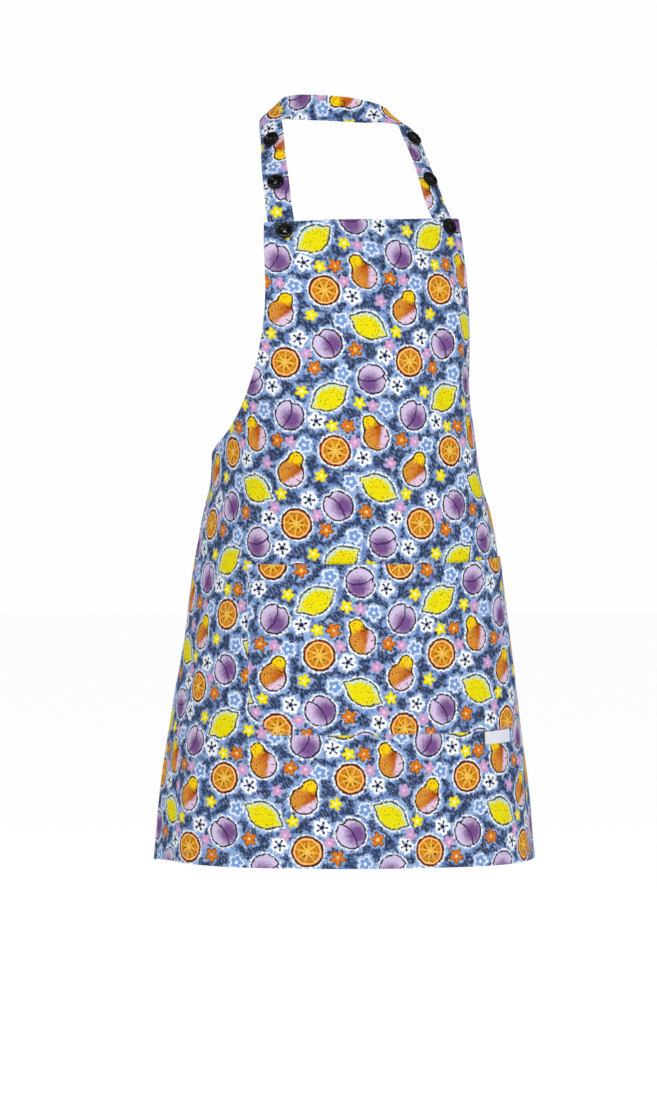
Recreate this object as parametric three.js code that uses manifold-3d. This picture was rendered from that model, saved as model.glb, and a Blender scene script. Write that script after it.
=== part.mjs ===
// A short bib apron in the form it takes when worn: one cloth wrapped round a body, a wide patch
// pocket, a neck strap held by buttons, and two waist ties knotted at the centre back.
// Millimetres, +Z up. The wearer faces -Y, and the origin lies where the strap crosses the nape.
// Cloth is measured flat: "across" runs from the centre front, "drop" down from the bib's top edge.

import * as THREE from 'three';
import Module from 'manifold-3d';
import { mergeVertices } from 'three/addons/utils/BufferGeometryUtils.js';

// The cloth as it is cut, and how it hangs
const HALF_WIDTH = 390;
const LENGTH = 760;
const WAIST_DROP = 283;
const BIB_HALF = 130;
const FALL = 750;
const BIB_TOP = -142;
const WALL = 1.2;
const HEM = 14;
const HEM_WALL = 2.2;
const ARMHOLE = new THREE.CubicBezierCurve(
  new THREE.Vector2(BIB_HALF, 0),
  new THREE.Vector2(157, 136),
  new THREE.Vector2(141, 276),
  new THREE.Vector2(HALF_WIDTH, WAIST_DROP),
);

// Level sections of the worn cloth: a squared ellipse at each drop
const SECTIONS = [
  { drop: 0, middle: -71, half: 165, depth: 76, square: 2.0 },
  { drop: 90, middle: -56, half: 156, depth: 128, square: 2.3 },
  { drop: 210, middle: -61, half: 146, depth: 139, square: 2.5 },
  { drop: 255, middle: -66, half: 148, depth: 142, square: 2.5 },
  { drop: 307, middle: -73, half: 153, depth: 143, square: 2.5 },
  { drop: 355, middle: -72, half: 163, depth: 152, square: 2.5 },
  { drop: 408, middle: -75, half: 174, depth: 156, square: 2.5 },
  { drop: 498, middle: -77, half: 188, depth: 160, square: 2.5 },
  { drop: 570, middle: -76, half: 200, depth: 166, square: 2.5 },
  { drop: 670, middle: -74, half: 217, depth: 175, square: 2.4 },
  { drop: 760, middle: -72, half: 226, depth: 181, square: 2.4 },
];

// Soft folds: a ridge (or a hollow, where the depth is negative) that starts at one drop, is
// deepest at the next and has gone at the last; lean is its sideways run for each mm of drop
const FOLDS = [
  { across: 92, lean: 0.06, from: 10, full: 150, gone: 330, width: 17, depth: 4.5 },
  { across: 60, lean: 0.1, from: 30, full: 170, gone: 330, width: 18, depth: -3 },
  { across: -104, lean: -0.12, from: 30, full: 190, gone: 330, width: 20, depth: 3 },
  { across: -205, lean: 0.55, from: 290, full: 350, gone: 470, width: 17, depth: 3 },
  { across: 215, lean: -0.5, from: 290, full: 350, gone: 470, width: 17, depth: 3 },
  { across: -262, lean: -0.05, from: 330, full: 760, gone: 1500, width: 34, depth: 5 },
  { across: -165, lean: -0.04, from: 420, full: 760, gone: 1500, width: 36, depth: -4 },
  { across: -70, lean: -0.03, from: 430, full: 760, gone: 1500, width: 40, depth: 4 },
  { across: 28, lean: 0.0, from: 450, full: 760, gone: 1500, width: 36, depth: -3 },
  { across: 112, lean: 0.04, from: 400, full: 760, gone: 1500, width: 38, depth: 4.5 },
  { across: 200, lean: 0.05, from: 380, full: 760, gone: 1500, width: 34, depth: -4 },
  { across: 290, lean: 0.05, from: 330, full: 760, gone: 1500, width: 36, depth: 5 },
];

// Places where the body lifts the cloth, or lets it sink where the lift is negative
const PULLS = [
  { across: -130, drop: 0, wide: 75, tall: 150, lift: -5.6 },
  { across: 130, drop: 0, wide: 75, tall: 150, lift: 5.6 },
  { across: 200, drop: 450, wide: 100, tall: 240, lift: 10 },
  { across: -150, drop: 790, wide: 150, tall: 130, lift: 3.5 },
  { across: -330, drop: 790, wide: 90, tall: 130, lift: 6 },
];

// Patch pocket with cut-off lower corners, and the blank label in its lower seam
const POCKET = { half: 190, top: 407, bottom: 604, corner: 28, mouthHem: 21, puff: 3 };
const POCKET_WALL = { cloth: 1.2, mouth: 2 };
const LABEL = { start: 100, end: 148, below: 1.6, height: 14.5, wall: 0.8, steps: 4 };

// Neck strap: its tails lie behind the bib, at a slant that is a sideways run for each mm of drop.
// Then it goes over each shoulder to the nape; look is the direction that its outer face looks to.
const STRAP = { width: 30.5, wall: 2, across: 108, tail: 36, bed: 1.2, steps: 44 };
const STRAP_SLANT = { right: -0.14, left: 0.34 };
const STRAP_ROUTE = {
  left: [
    { x: 96.5, y: -120, z: -122, lookX: 0.24, lookY: -0.83, lookZ: 0.5 },
    { x: 95, y: -104, z: -95, lookX: 0.31, lookY: -0.79, lookZ: 0.53 },
    { x: 94.5, y: -85, z: -69, lookX: 0.39, lookY: -0.72, lookZ: 0.57 },
    { x: 94, y: -64, z: -44, lookX: 0.36, lookY: -0.69, lookZ: 0.63 },
    { x: 91.5, y: -42, z: -20.5, lookX: 0.44, lookY: -0.46, lookZ: 0.78 },
    { x: 77, y: -22, z: -7.5, lookX: 0.56, lookY: 0.25, lookZ: 0.79 },
    { x: 53, y: -8, z: -3, lookX: 0.47, lookY: 0.71, lookZ: 0.53 },
    { x: 27, y: -1, z: -0.5, lookX: 0.18, lookY: 0.94, lookZ: 0.3 },
  ],
  right: [
    { x: -107, y: -120, z: -130, lookX: -0.5, lookY: -0.73, lookZ: 0.47 },
    { x: -103, y: -104, z: -101, lookX: -0.54, lookY: -0.68, lookZ: 0.5 },
    { x: -98, y: -85, z: -73, lookX: -0.64, lookY: -0.54, lookZ: 0.55 },
    { x: -90, y: -64, z: -46, lookX: -0.72, lookY: -0.42, lookZ: 0.56 },
    { x: -83, y: -42, z: -21.5, lookX: -0.73, lookY: -0.28, lookZ: 0.62 },
    { x: -73, y: -22, z: -8, lookX: -0.6, lookY: 0.22, lookZ: 0.77 },
    { x: -53, y: -8, z: -3, lookX: -0.47, lookY: 0.71, lookZ: 0.53 },
    { x: -27, y: -1, z: -0.5, lookX: -0.18, lookY: 0.94, lookZ: 0.3 },
  ],
};
const NAPE = { x: 0, y: 1, z: 0, lookX: 0, lookY: 1, lookZ: 0.2 };

// Buttons: three on each end of the strap, the lowest through a buttonhole in the bib
const BUTTON = { radius: 10, height: 4.4, holeRing: 2.7, hole: 0.9, holes: 4, shank: 1.2, shankLength: 0.7 };
const BUTTON_ROW = { count: 3, pitch: 66 };
// The button's half section, in shares of its radius and height, from its back to its dished middle
const BUTTON_PROFILE = [
  { out: 0.8, up: 0 },
  { out: 1, up: 0.35 },
  { out: 0.97, up: 0.75 },
  { out: 0.84, up: 1 },
  { out: 0.68, up: 0.92 },
  { out: 0.5, up: 0.6 },
  { out: 0, up: 0.5 },
];
const BUTTONHOLE = { drop: 11, length: 22, width: 3.2, reach: 12 };

// Waist ties, sewn inside the panel's corners, and their knot with two hanging ends
const TIE = { width: 28, wall: 1.6, overlap: 28, bed: 0.7, neck: 15, taperFrom: 0.6, steps: 10 };
const TIE_DROP = WAIST_DROP + TIE.width / 2 + 2;
const TIE_DEPTH = HEM_WALL + TIE.bed;
const KNOT = { radius: 13, flat: 0.75, halfHeight: 13 };
// The knot's half section, in shares of its radius and half height
const KNOT_PROFILE = [
  { out: 0, up: -1 },
  { out: 0.7, up: -1 },
  { out: 0.95, up: -0.6 },
  { out: 1, up: 0 },
  { out: 0.95, up: 0.6 },
  { out: 0.7, up: 1 },
  { out: 0, up: 1 },
];
const TIE_END = { length: 285, width: 26, widening: 0.25, start: 4, spread: 20, steps: 8 };
const TIE_END_BACK = { apart: 2.2, drift: 3 };

const GAP = 0.4;
const SECTION_STEPS = 180;
const NORMAL_STEP = 2;
const MERGE_DISTANCE = 1e-4;
const ROUND_SIDES = 20;
const HOLE_SIDES = 8;
const SIDES = { right: -1, left: 1 };

const wasm = await Module();
wasm.setup();

// Solids and cuts

function toSolid(geometry) {
  const bare = geometry.clone();
  bare.deleteAttribute('normal');
  bare.deleteAttribute('uv');
  const merged = mergeVertices(bare, MERGE_DISTANCE);
  return new wasm.Manifold(new wasm.Mesh({
    numProp: 3,
    vertProperties: new Float32Array(merged.attributes.position.array),
    triVerts: new Uint32Array(merged.index.array),
  }));
}

function toGeometry(solid) {
  const mesh = solid.getMesh();
  const geometry = new THREE.BufferGeometry();
  geometry.setAttribute('position', new THREE.BufferAttribute(mesh.vertProperties, 3));
  geometry.setIndex(new THREE.BufferAttribute(mesh.triVerts, 1));
  return geometry;
}

// A closed wall of cloth from its front and back points, in step, and its front triangles
function clothWall(fronts, backs, faces) {
  const count = fronts.length;
  const index = [];
  const edges = new Set(faces.flatMap(([a, b, c]) => [`${a} ${b}`, `${b} ${c}`, `${c} ${a}`]));
  for (const [a, b, c] of faces) {
    index.push(a, b, c, a + count, c + count, b + count);
    for (const [from, to] of [[a, b], [b, c], [c, a]]) {
      if (!edges.has(`${to} ${from}`)) {
        index.push(to, from, from + count, to, from + count, to + count);
      }
    }
  }
  const geometry = new THREE.BufferGeometry().setFromPoints([...fronts, ...backs]);
  geometry.setIndex(index);
  return geometry;
}

// Triangles of a grid of points, split so that the lower outer corner of each cell is one triangle
function gridFaces(rows, columns, cornerCut = () => false) {
  const faces = [];
  for (let row = 0; row < rows - 1; row += 1) {
    for (let column = 0; column < columns - 1; column += 1) {
      const topLeft = row * columns + column;
      const topRight = topLeft + 1;
      const lowLeft = topLeft + columns;
      const lowRight = lowLeft + 1;
      const leftHalf = column < (columns - 1) / 2;
      const upper = leftHalf ? [topLeft, lowRight, topRight] : [topLeft, lowLeft, topRight];
      const lower = leftHalf ? [topLeft, lowLeft, lowRight] : [topRight, lowLeft, lowRight];
      faces.push(upper);
      if (!cornerCut(row, column)) {
        faces.push(lower);
      }
    }
  }
  return faces;
}

// Evenly spaced values from one end to the other, without the first
function stepsTo(start, end, count) {
  return Array.from({ length: count }, (_, i) => start + ((end - start) * (i + 1)) / count);
}

// The draped cloth

function sectionSizes({ middle, half, depth, square }) {
  return [middle, half, depth, square];
}

const sectionCurve = new THREE.CubicInterpolant(
  SECTIONS.map((row) => row.drop),
  SECTIONS.flatMap(sectionSizes),
  sectionSizes(SECTIONS[0]).length,
);

// Half of the level section at a drop, from centre front to centre back, with running lengths
function halfSection(drop) {
  const [middle, half, depth, square] = sectionCurve.evaluate(THREE.MathUtils.clamp(drop, 0, LENGTH));
  const points = [];
  const lengths = [0];
  for (let i = 0; i <= SECTION_STEPS; i += 1) {
    const turn = (Math.PI * i) / SECTION_STEPS;
    const sum = Math.abs(Math.cos(turn) / depth) ** square + Math.abs(Math.sin(turn) / half) ** square;
    const reach = sum ** (-1 / square);
    points.push(new THREE.Vector2(reach * Math.sin(turn), middle - reach * Math.cos(turn)));
    if (i > 0) {
      lengths.push(lengths[i - 1] + points[i].distanceTo(points[i - 1]));
    }
  }
  return { points, lengths };
}

function halfGirth(drop) {
  return halfSection(drop).lengths[SECTION_STEPS];
}

function foldHeight(across, drop) {
  let height = 0;
  for (const fold of FOLDS) {
    const rise = THREE.MathUtils.smoothstep(drop, fold.from, fold.full);
    const fade = 1 - THREE.MathUtils.smoothstep(drop, fold.full, fold.gone);
    const off = (across - fold.across - fold.lean * (drop - fold.from)) / fold.width;
    height += fold.depth * rise * fade * Math.exp(-off * off);
  }
  return height;
}

// The cloth's outer face at a flat place on it
function pull(across, drop) {
  return PULLS.reduce((sum, spot) => {
    const off = ((across - spot.across) / spot.wide) ** 2 + ((drop - spot.drop) / spot.tall) ** 2;
    return sum + spot.lift * Math.exp(-off);
  }, 0);
}

function drapedPoint(across, drop) {
  const { points, lengths } = halfSection(drop);
  const girth = lengths[SECTION_STEPS];
  const reach = Math.min(Math.abs(across), girth);
  let step = 1;
  while (lengths[step] < reach && step < SECTION_STEPS) {
    step += 1;
  }
  const share = (reach - lengths[step - 1]) / (lengths[step] - lengths[step - 1]);
  const spot = points[step - 1].clone().lerp(points[step], share);
  const along = points[step].clone().sub(points[step - 1]).normalize();
  spot.addScaledVector(new THREE.Vector2(along.y, -along.x), foldHeight(across, drop));
  const height = BIB_TOP - (drop * FALL) / LENGTH + pull(across, drop);
  return new THREE.Vector3(spot.x * Math.sign(across), spot.y, height);
}

// The outward direction of the cloth at a flat place
function outward(across, drop) {
  const right = drapedPoint(across + NORMAL_STEP, drop).sub(drapedPoint(across - NORMAL_STEP, drop));
  const down = drapedPoint(across, drop + NORMAL_STEP).sub(drapedPoint(across, drop - NORMAL_STEP));
  return down.cross(right).normalize();
}

// A point that stands off the cloth's outer face, or lies behind it where the height is negative
function onCloth(across, drop, height) {
  return drapedPoint(across, drop).addScaledVector(outward(across, drop), height);
}

// Flat grid lines, which the pocket shares with the panel under it

const POCKET_COLUMNS = [
  0,
  ...stepsTo(0, POCKET.half - POCKET.corner, 7),
  POCKET.half,
];
const PANEL_COLUMNS = [
  ...POCKET_COLUMNS,
  ...stepsTo(POCKET.half, HALF_WIDTH - HEM, 8),
  HALF_WIDTH,
];
const POCKET_ROWS = [
  POCKET.top,
  POCKET.top + POCKET.mouthHem,
  ...stepsTo(POCKET.top + POCKET.mouthHem, POCKET.bottom - POCKET.corner, 7),
  POCKET.bottom,
];
const SKIRT_ROWS = [
  ...stepsTo(WAIST_DROP, POCKET.top, 6),
  ...POCKET_ROWS.slice(1),
  ...stepsTo(POCKET.bottom, LENGTH - HEM, 6),
  LENGTH,
];
const BIB_ROWS = 16;

function mirrored(columns) {
  return [...columns.slice(1).reverse().map((value) => -value), ...columns];
}

// Flat places of the panel, row by row: the bib's rows bow down to the armhole's edge, and the
// second row lies at the foot of the top hem
function panelFlat() {
  const rows = [];
  for (let i = 0; i <= BIB_ROWS; i += 1) {
    const share = i / BIB_ROWS;
    const edge = ARMHOLE.getPoint(share);
    const middle = WAIST_DROP * share;
    const inner = (edge.x - HEM) / (HALF_WIDTH - HEM);
    rows.push(mirrored(PANEL_COLUMNS).map((column) => {
      const atEdge = Math.abs(column) === HALF_WIDTH;
      const across = atEdge ? Math.sign(column) * edge.x : column * inner;
      const bow = (edge.y - middle) * (across / edge.x) ** 2;
      const drop = i === 1 ? HEM : middle + bow;
      return { across, drop, hemmed: i <= 1 || Math.abs(column) >= HALF_WIDTH - HEM };
    }));
  }
  for (const drop of SKIRT_ROWS) {
    rows.push(mirrored(PANEL_COLUMNS).map((across) => ({
      across,
      drop,
      hemmed: drop >= LENGTH - HEM || Math.abs(across) >= HALF_WIDTH - HEM,
    })));
  }
  return rows;
}

// The pieces

function buttonFrame(spot, look, right) {
  const up = look.clone().cross(right).normalize();
  const level = up.clone().cross(look).normalize();
  return new THREE.Matrix4().makeBasis(level, up, look).setPosition(spot);
}

function buttonholeFrame(side) {
  const across = side * STRAP.across;
  const right = drapedPoint(across + NORMAL_STEP, BUTTONHOLE.drop)
    .sub(drapedPoint(across - NORMAL_STEP, BUTTONHOLE.drop));
  return buttonFrame(onCloth(across, BUTTONHOLE.drop, GAP), outward(across, BUTTONHOLE.drop), right);
}

function apronPanel() {
  const flat = panelFlat();
  const spots = flat.flat();
  const fronts = spots.map((spot) => onCloth(spot.across, spot.drop, 0));
  const backs = spots.map((spot) => onCloth(spot.across, spot.drop, spot.hemmed ? -HEM_WALL : -WALL));
  let solid = toSolid(clothWall(fronts, backs, gridFaces(flat.length, flat[0].length)));
  for (const side of Object.values(SIDES)) {
    const slit = new THREE.BoxGeometry(BUTTONHOLE.length, BUTTONHOLE.width, BUTTONHOLE.reach);
    solid = solid.subtract(toSolid(slit.applyMatrix4(buttonholeFrame(side))));
  }
  return toGeometry(solid);
}

// How far the pocket stands off between its sewn sides, centre line and lower edge
function pocketPuff(across, drop) {
  const between = Math.abs(Math.sin((Math.PI * across) / POCKET.half));
  const open = 1 - ((drop - POCKET.top) / (POCKET.bottom - POCKET.top)) ** 4;
  return POCKET.puff * between * open;
}

function frontPocket() {
  const columns = mirrored(POCKET_COLUMNS);
  const spots = POCKET_ROWS.flatMap((drop) => columns.map((across) => ({ across, drop })));
  const backs = spots.map(({ across, drop }) => onCloth(across, drop, GAP + pocketPuff(across, drop)));
  const fronts = spots.map(({ across, drop }) => {
    const wall = drop <= POCKET.top + POCKET.mouthHem ? POCKET_WALL.mouth : POCKET_WALL.cloth;
    return onCloth(across, drop, GAP + pocketPuff(across, drop) + wall);
  });
  const lastRow = POCKET_ROWS.length - 2;
  const lastColumn = columns.length - 2;
  const cornerCut = (row, column) => row === lastRow && (column === 0 || column === lastColumn);
  return clothWall(fronts, backs, gridFaces(POCKET_ROWS.length, columns.length, cornerCut));
}

function pocketLabel() {
  const columns = [LABEL.start, ...stepsTo(LABEL.start, LABEL.end, LABEL.steps)];
  const top = POCKET.bottom + LABEL.below;
  const rows = [top, top + LABEL.height];
  const spots = rows.flatMap((drop) => columns.map((across) => ({ across, drop })));
  const backs = spots.map(({ across, drop }) => onCloth(across, drop, GAP));
  const fronts = spots.map(({ across, drop }) => onCloth(across, drop, GAP + LABEL.wall));
  return clothWall(fronts, backs, gridFaces(rows.length, columns.length));
}

function routePlace({ x, y, z, lookX, lookY, lookZ }) {
  return { spot: new THREE.Vector3(x, y, z), look: new THREE.Vector3(lookX, lookY, lookZ).normalize() };
}

// One side of the strap, from the tail's end behind the bib up to the nape
function strapSide(sideName) {
  const behind = HEM_WALL + STRAP.bed + STRAP.wall / 2;
  const tail = [STRAP.tail, BUTTONHOLE.drop, 0].map((drop) => {
    const slant = STRAP_SLANT[sideName] * (drop - BUTTONHOLE.drop);
    const across = SIDES[sideName] * (STRAP.across + slant);
    return { spot: onCloth(across, drop, -behind), look: outward(across, drop) };
  });
  return [...tail, ...STRAP_ROUTE[sideName].map(routePlace)];
}

// The strap's middle line and the way it faces, from the wearer's left tail round to the right one
function strapLines() {
  const all = [...strapSide('left'), routePlace(NAPE), ...strapSide('right').reverse()];
  return {
    route: new THREE.CatmullRomCurve3(all.map((row) => row.spot)),
    looks: new THREE.CatmullRomCurve3(all.map((row) => row.look)),
  };
}

const strap = strapLines();

// A place on the strap: its spot, the way along it, the way it faces and the way across it
function strapPlace(t) {
  const spot = strap.route.getPoint(t);
  const along = strap.route.getTangent(t);
  const look = strap.looks.getPoint(t);
  look.addScaledVector(along, -look.dot(along)).normalize();
  return { spot, look, cross: look.clone().cross(along).normalize() };
}

function neckStrap() {
  const fronts = [];
  const backs = [];
  const widths = [-STRAP.width / 2, 0, STRAP.width / 2];
  for (let i = 0; i <= STRAP.steps; i += 1) {
    const { spot, look, cross } = strapPlace(i / STRAP.steps);
    for (const offset of widths) {
      const middle = spot.clone().addScaledVector(cross, offset);
      fronts.push(middle.clone().addScaledVector(look, STRAP.wall / 2));
      backs.push(middle.clone().addScaledVector(look, -STRAP.wall / 2));
    }
  }
  return clothWall(fronts, backs, gridFaces(STRAP.steps + 1, widths.length));
}

// A dished sew-through button on its thread shank, standing on the plane of its own +Z
function buttonShape(shankLength) {
  const profile = [
    new THREE.Vector2(0, -shankLength),
    new THREE.Vector2(BUTTON.shank, -shankLength),
    new THREE.Vector2(BUTTON.shank, 0),
    ...BUTTON_PROFILE.map(({ out, up }) => new THREE.Vector2(out * BUTTON.radius, up * BUTTON.height)),
  ];
  let solid = toSolid(new THREE.LatheGeometry(profile, ROUND_SIDES).rotateX(Math.PI / 2));
  for (let i = 0; i < BUTTON.holes; i += 1) {
    const turn = (2 * Math.PI * (i + 0.5)) / BUTTON.holes;
    const reach = 2 * (BUTTON.height + shankLength);
    const hole = new THREE.CylinderGeometry(BUTTON.hole, BUTTON.hole, reach, HOLE_SIDES);
    hole.rotateX(Math.PI / 2);
    hole.translate(BUTTON.holeRing * Math.cos(turn), BUTTON.holeRing * Math.sin(turn), 0);
    solid = solid.subtract(toSolid(hole));
  }
  return toGeometry(solid);
}

function buttonPlaces(sideName) {
  const side = SIDES[sideName];
  const total = strap.route.getLength();
  const first = STRAP.tail - BUTTONHOLE.drop;
  const places = [{ frame: buttonholeFrame(side), shankLength: HEM_WALL + STRAP.bed }];
  for (let i = 1; i < BUTTON_ROW.count; i += 1) {
    const run = first + i * BUTTON_ROW.pitch;
    const t = strap.route.getUtoTmapping(0, side > 0 ? run : total - run);
    const { spot, look, cross } = strapPlace(t);
    const seat = STRAP.wall / 2 + GAP + BUTTON.shankLength;
    const right = cross.clone().multiplyScalar(Math.sign(cross.x));
    places.push({
      frame: buttonFrame(spot.clone().addScaledVector(look, seat), look, right),
      shankLength: BUTTON.shankLength,
    });
  }
  return places;
}

// One waist tie from inside the panel's corner to the knot, narrowing where it is pulled in
function waistTie(side) {
  const start = HALF_WIDTH - TIE.overlap;
  const fronts = [];
  const backs = [];
  for (const share of [0, ...stepsTo(0, 1, TIE.steps)]) {
    const pulled = THREE.MathUtils.smoothstep(share, TIE.taperFrom, 1);
    const width = THREE.MathUtils.lerp(TIE.width, TIE.neck, pulled);
    for (const edge of [-1, 0, 1]) {
      const drop = TIE_DROP + (edge * width) / 2;
      const end = halfGirth(drop) - KNOT.radius - GAP;
      const across = side * THREE.MathUtils.lerp(start, end, share);
      fronts.push(onCloth(across, drop, -TIE_DEPTH));
      backs.push(onCloth(across, drop, -TIE_DEPTH - TIE.wall));
    }
  }
  const faces = gridFaces(TIE.steps + 1, 3);
  return clothWall(fronts, backs, side > 0 ? faces.map(([a, b, c]) => [a, c, b]) : faces);
}

// The knot is a soft barrel, with the two free ends of the ties hanging from it
function waistKnot() {
  const back = onCloth(halfGirth(TIE_DROP), TIE_DROP, -TIE_DEPTH - TIE.wall / 2);
  const profile = KNOT_PROFILE.map(
    ({ out, up }) => new THREE.Vector2(out * KNOT.radius, up * KNOT.halfHeight),
  );
  const barrel = new THREE.LatheGeometry(profile, ROUND_SIDES).rotateX(Math.PI / 2);
  let solid = toSolid(barrel.scale(1, KNOT.flat, 1).translate(0, back.y, back.z));
  for (const side of Object.values(SIDES)) {
    const fronts = [];
    const backs = [];
    for (const share of [0, ...stepsTo(0, 1, TIE_END.steps)]) {
      const y = back.y + side * (TIE_END_BACK.apart + TIE_END_BACK.drift * Math.sin(Math.PI * share));
      const z = back.z - TIE_END.length * share;
      const width = THREE.MathUtils.lerp(TIE.neck, TIE_END.width, Math.min(1, share / TIE_END.widening));
      for (const edge of [-1, 1]) {
        const x = side * (TIE_END.start + TIE_END.spread * share) + (edge * width) / 2;
        fronts.push(new THREE.Vector3(x, y - TIE.wall / 2, z));
        backs.push(new THREE.Vector3(x, y + TIE.wall / 2, z));
      }
    }
    solid = solid.add(toSolid(clothWall(fronts, backs, gridFaces(TIE_END.steps + 1, 2))));
  }
  return toGeometry(solid);
}

// The assembly

const PRINTED_CLOTH = { color: 0x7d9acc, roughness: 0.9, metalness: 0 };
const LABEL_CLOTH = { color: 0xdad8d6, roughness: 0.8, metalness: 0 };
const BUTTON_PLASTIC = { color: 0x0b0b0e, roughness: 0.2, metalness: 0 };

function piece(name, geometry, finish) {
  const mesh = new THREE.Mesh(geometry, new THREE.MeshStandardMaterial(finish));
  mesh.name = name;
  return mesh;
}

const apron = new THREE.Group();
apron.add(piece('apron_panel', apronPanel(), PRINTED_CLOTH));
apron.add(piece('front_pocket', frontPocket(), PRINTED_CLOTH));
apron.add(piece('pocket_label', pocketLabel(), LABEL_CLOTH));
apron.add(piece('neck_strap', neckStrap(), PRINTED_CLOTH));
apron.add(piece('waist_knot', waistKnot(), PRINTED_CLOTH));
for (const [sideName, side] of Object.entries(SIDES)) {
  apron.add(piece(`waist_tie_${sideName}`, waistTie(side), PRINTED_CLOTH));
  buttonPlaces(sideName).forEach(({ frame, shankLength }, i) => {
    const button = piece(`button_${sideName}_${i + 1}`, buttonShape(shankLength), BUTTON_PLASTIC);
    button.applyMatrix4(frame);
    apron.add(button);
  });
}

export default apron;
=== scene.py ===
# %% [markdown]
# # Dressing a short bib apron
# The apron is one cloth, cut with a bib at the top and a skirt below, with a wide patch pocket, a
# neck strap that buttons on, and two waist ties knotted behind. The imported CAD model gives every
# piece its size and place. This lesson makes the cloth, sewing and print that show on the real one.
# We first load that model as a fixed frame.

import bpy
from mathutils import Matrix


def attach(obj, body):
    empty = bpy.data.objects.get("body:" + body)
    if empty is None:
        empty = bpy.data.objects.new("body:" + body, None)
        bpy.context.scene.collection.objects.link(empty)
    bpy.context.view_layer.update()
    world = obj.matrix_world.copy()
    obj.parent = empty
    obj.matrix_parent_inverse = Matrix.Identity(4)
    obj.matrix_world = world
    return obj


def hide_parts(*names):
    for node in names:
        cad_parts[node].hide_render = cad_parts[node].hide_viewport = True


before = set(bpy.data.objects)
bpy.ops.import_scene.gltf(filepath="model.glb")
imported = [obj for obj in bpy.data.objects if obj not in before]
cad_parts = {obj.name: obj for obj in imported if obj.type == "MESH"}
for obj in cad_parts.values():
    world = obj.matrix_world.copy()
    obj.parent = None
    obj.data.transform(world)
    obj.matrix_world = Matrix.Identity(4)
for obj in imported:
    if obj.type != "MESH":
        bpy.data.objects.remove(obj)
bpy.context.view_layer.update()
print("CAD nodes:", ", ".join(sorted(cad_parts)))

# %% [markdown]
# ## Camera, light and floor
# A picture of clothing is taken from far away with a long lens, so that the cloth isn't distorted. The
# camera stands five and a half metres off, level, a little towards the apron's own right. Its lens is
# worked out from the picture's long side, because Blender measures the sensor along that side.

# %% Camera
import math

import bpy
import numpy as np
from mathutils import Matrix, Vector, noise

MM = 0.001
PICTURE_LONG_SIDE = 1107
FOCAL_LENGTH = 4661                      # both in picture pixels
CAMERA_DISTANCE = 5500
CAMERA_TURN = math.radians(-25)
AIM = Vector((-11.2, -50.8, -531))       # the point in mm that the middle of the picture shows

camera_data = bpy.data.cameras.new("camera")
camera_data.sensor_width = 36
camera_data.lens = camera_data.sensor_width * FOCAL_LENGTH / PICTURE_LONG_SIDE
camera = bpy.data.objects.new("camera", camera_data)
bpy.context.scene.collection.objects.link(camera)
bpy.context.scene.camera = camera
sight = Vector((-math.sin(CAMERA_TURN), math.cos(CAMERA_TURN), 0))
camera.location = (AIM - CAMERA_DISTANCE * sight) * MM
camera.rotation_euler = (math.radians(90), 0, CAMERA_TURN)
print("camera at", tuple(round(x, 3) for x in camera.location), "lens", round(camera_data.lens, 1))

# %% [markdown]
# The light is that of a white studio. The room and the glowing floor shine from everywhere, a large
# soft lamp in front rounds the cloth, and one behind lights the inside. Two small bright lamps stand
# where the dished buttons mirror them to the camera as glints. The room looks white to the camera, but
# lights the cloth less than that, so that the sides turn darker. The wide pale floor lies far below
# the hem, at standing height.

# %% Room light, lamps and floor
FLOOR_HEIGHT = -1450
FLOOR_SIZE = 120
FLOOR_GLOW = 0.68
ROOM_LIGHT = 0.3
ROOM_SEEN = 0.99
LAMPS = (                                # name, place in mm, size in m, watts
    ("soft_lamp", (-200, -3900, 1700), 2.0, 34),
    ("back_lamp", (2000, 4000, 1500), 2.0, 75),
    ("front_glint_lamp", (-1420, -3310, 2900), 0.45, 80),
    ("top_glint_lamp", (-1950, -640, 4090), 0.4, 28),
)

scene = bpy.context.scene
scene.view_settings.view_transform = "Standard"
scene.world = bpy.data.worlds.new("white_room")
scene.world.use_nodes = True
room = scene.world.node_tree
seen = room.nodes["Background"]
lit = room.nodes.new("ShaderNodeBackground")
for background, strength in ((seen, ROOM_SEEN), (lit, ROOM_LIGHT)):
    background.inputs["Color"].default_value = (1, 1, 1, 1)
    background.inputs["Strength"].default_value = strength
choice = room.nodes.new("ShaderNodeMixShader")
room.links.new(room.nodes.new("ShaderNodeLightPath").outputs["Is Camera Ray"], choice.inputs["Fac"])
room.links.new(lit.outputs[0], choice.inputs[1])
room.links.new(seen.outputs[0], choice.inputs[2])
room.links.new(choice.outputs[0], room.nodes["World Output"].inputs["Surface"])
for name, place, size, watts in LAMPS:
    lamp = bpy.data.lights.new(name, "AREA")
    lamp.size = size
    lamp.energy = watts
    lamp_object = bpy.data.objects.new(name, lamp)
    scene.collection.objects.link(lamp_object)
    lamp_object.location = Vector(place) * MM
    aim = (AIM * MM - lamp_object.location).to_track_quat("-Z", "Y")
    lamp_object.rotation_euler = aim.to_euler()

bpy.ops.object.select_all(action="DESELECT")
bpy.ops.mesh.primitive_plane_add(size=FLOOR_SIZE, location=(0, 0, FLOOR_HEIGHT * MM))
floor = bpy.context.object
floor.name = "studio_floor"
floor_paint = bpy.data.materials.new("studio_floor")
floor_paint.use_nodes = True
floor_finish = floor_paint.node_tree.nodes["Principled BSDF"].inputs
floor_finish["Base Color"].default_value = (0.99, 0.99, 0.99, 1)
floor_finish["Roughness"].default_value = 0.9
floor_finish["Emission Color"].default_value = (1, 1, 1, 1)
floor_finish["Emission Strength"].default_value = FLOOR_GLOW
floor.data.materials.append(floor_paint)
print("floor at", FLOOR_HEIGHT, "mm,", len(LAMPS), "lamps")

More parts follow.
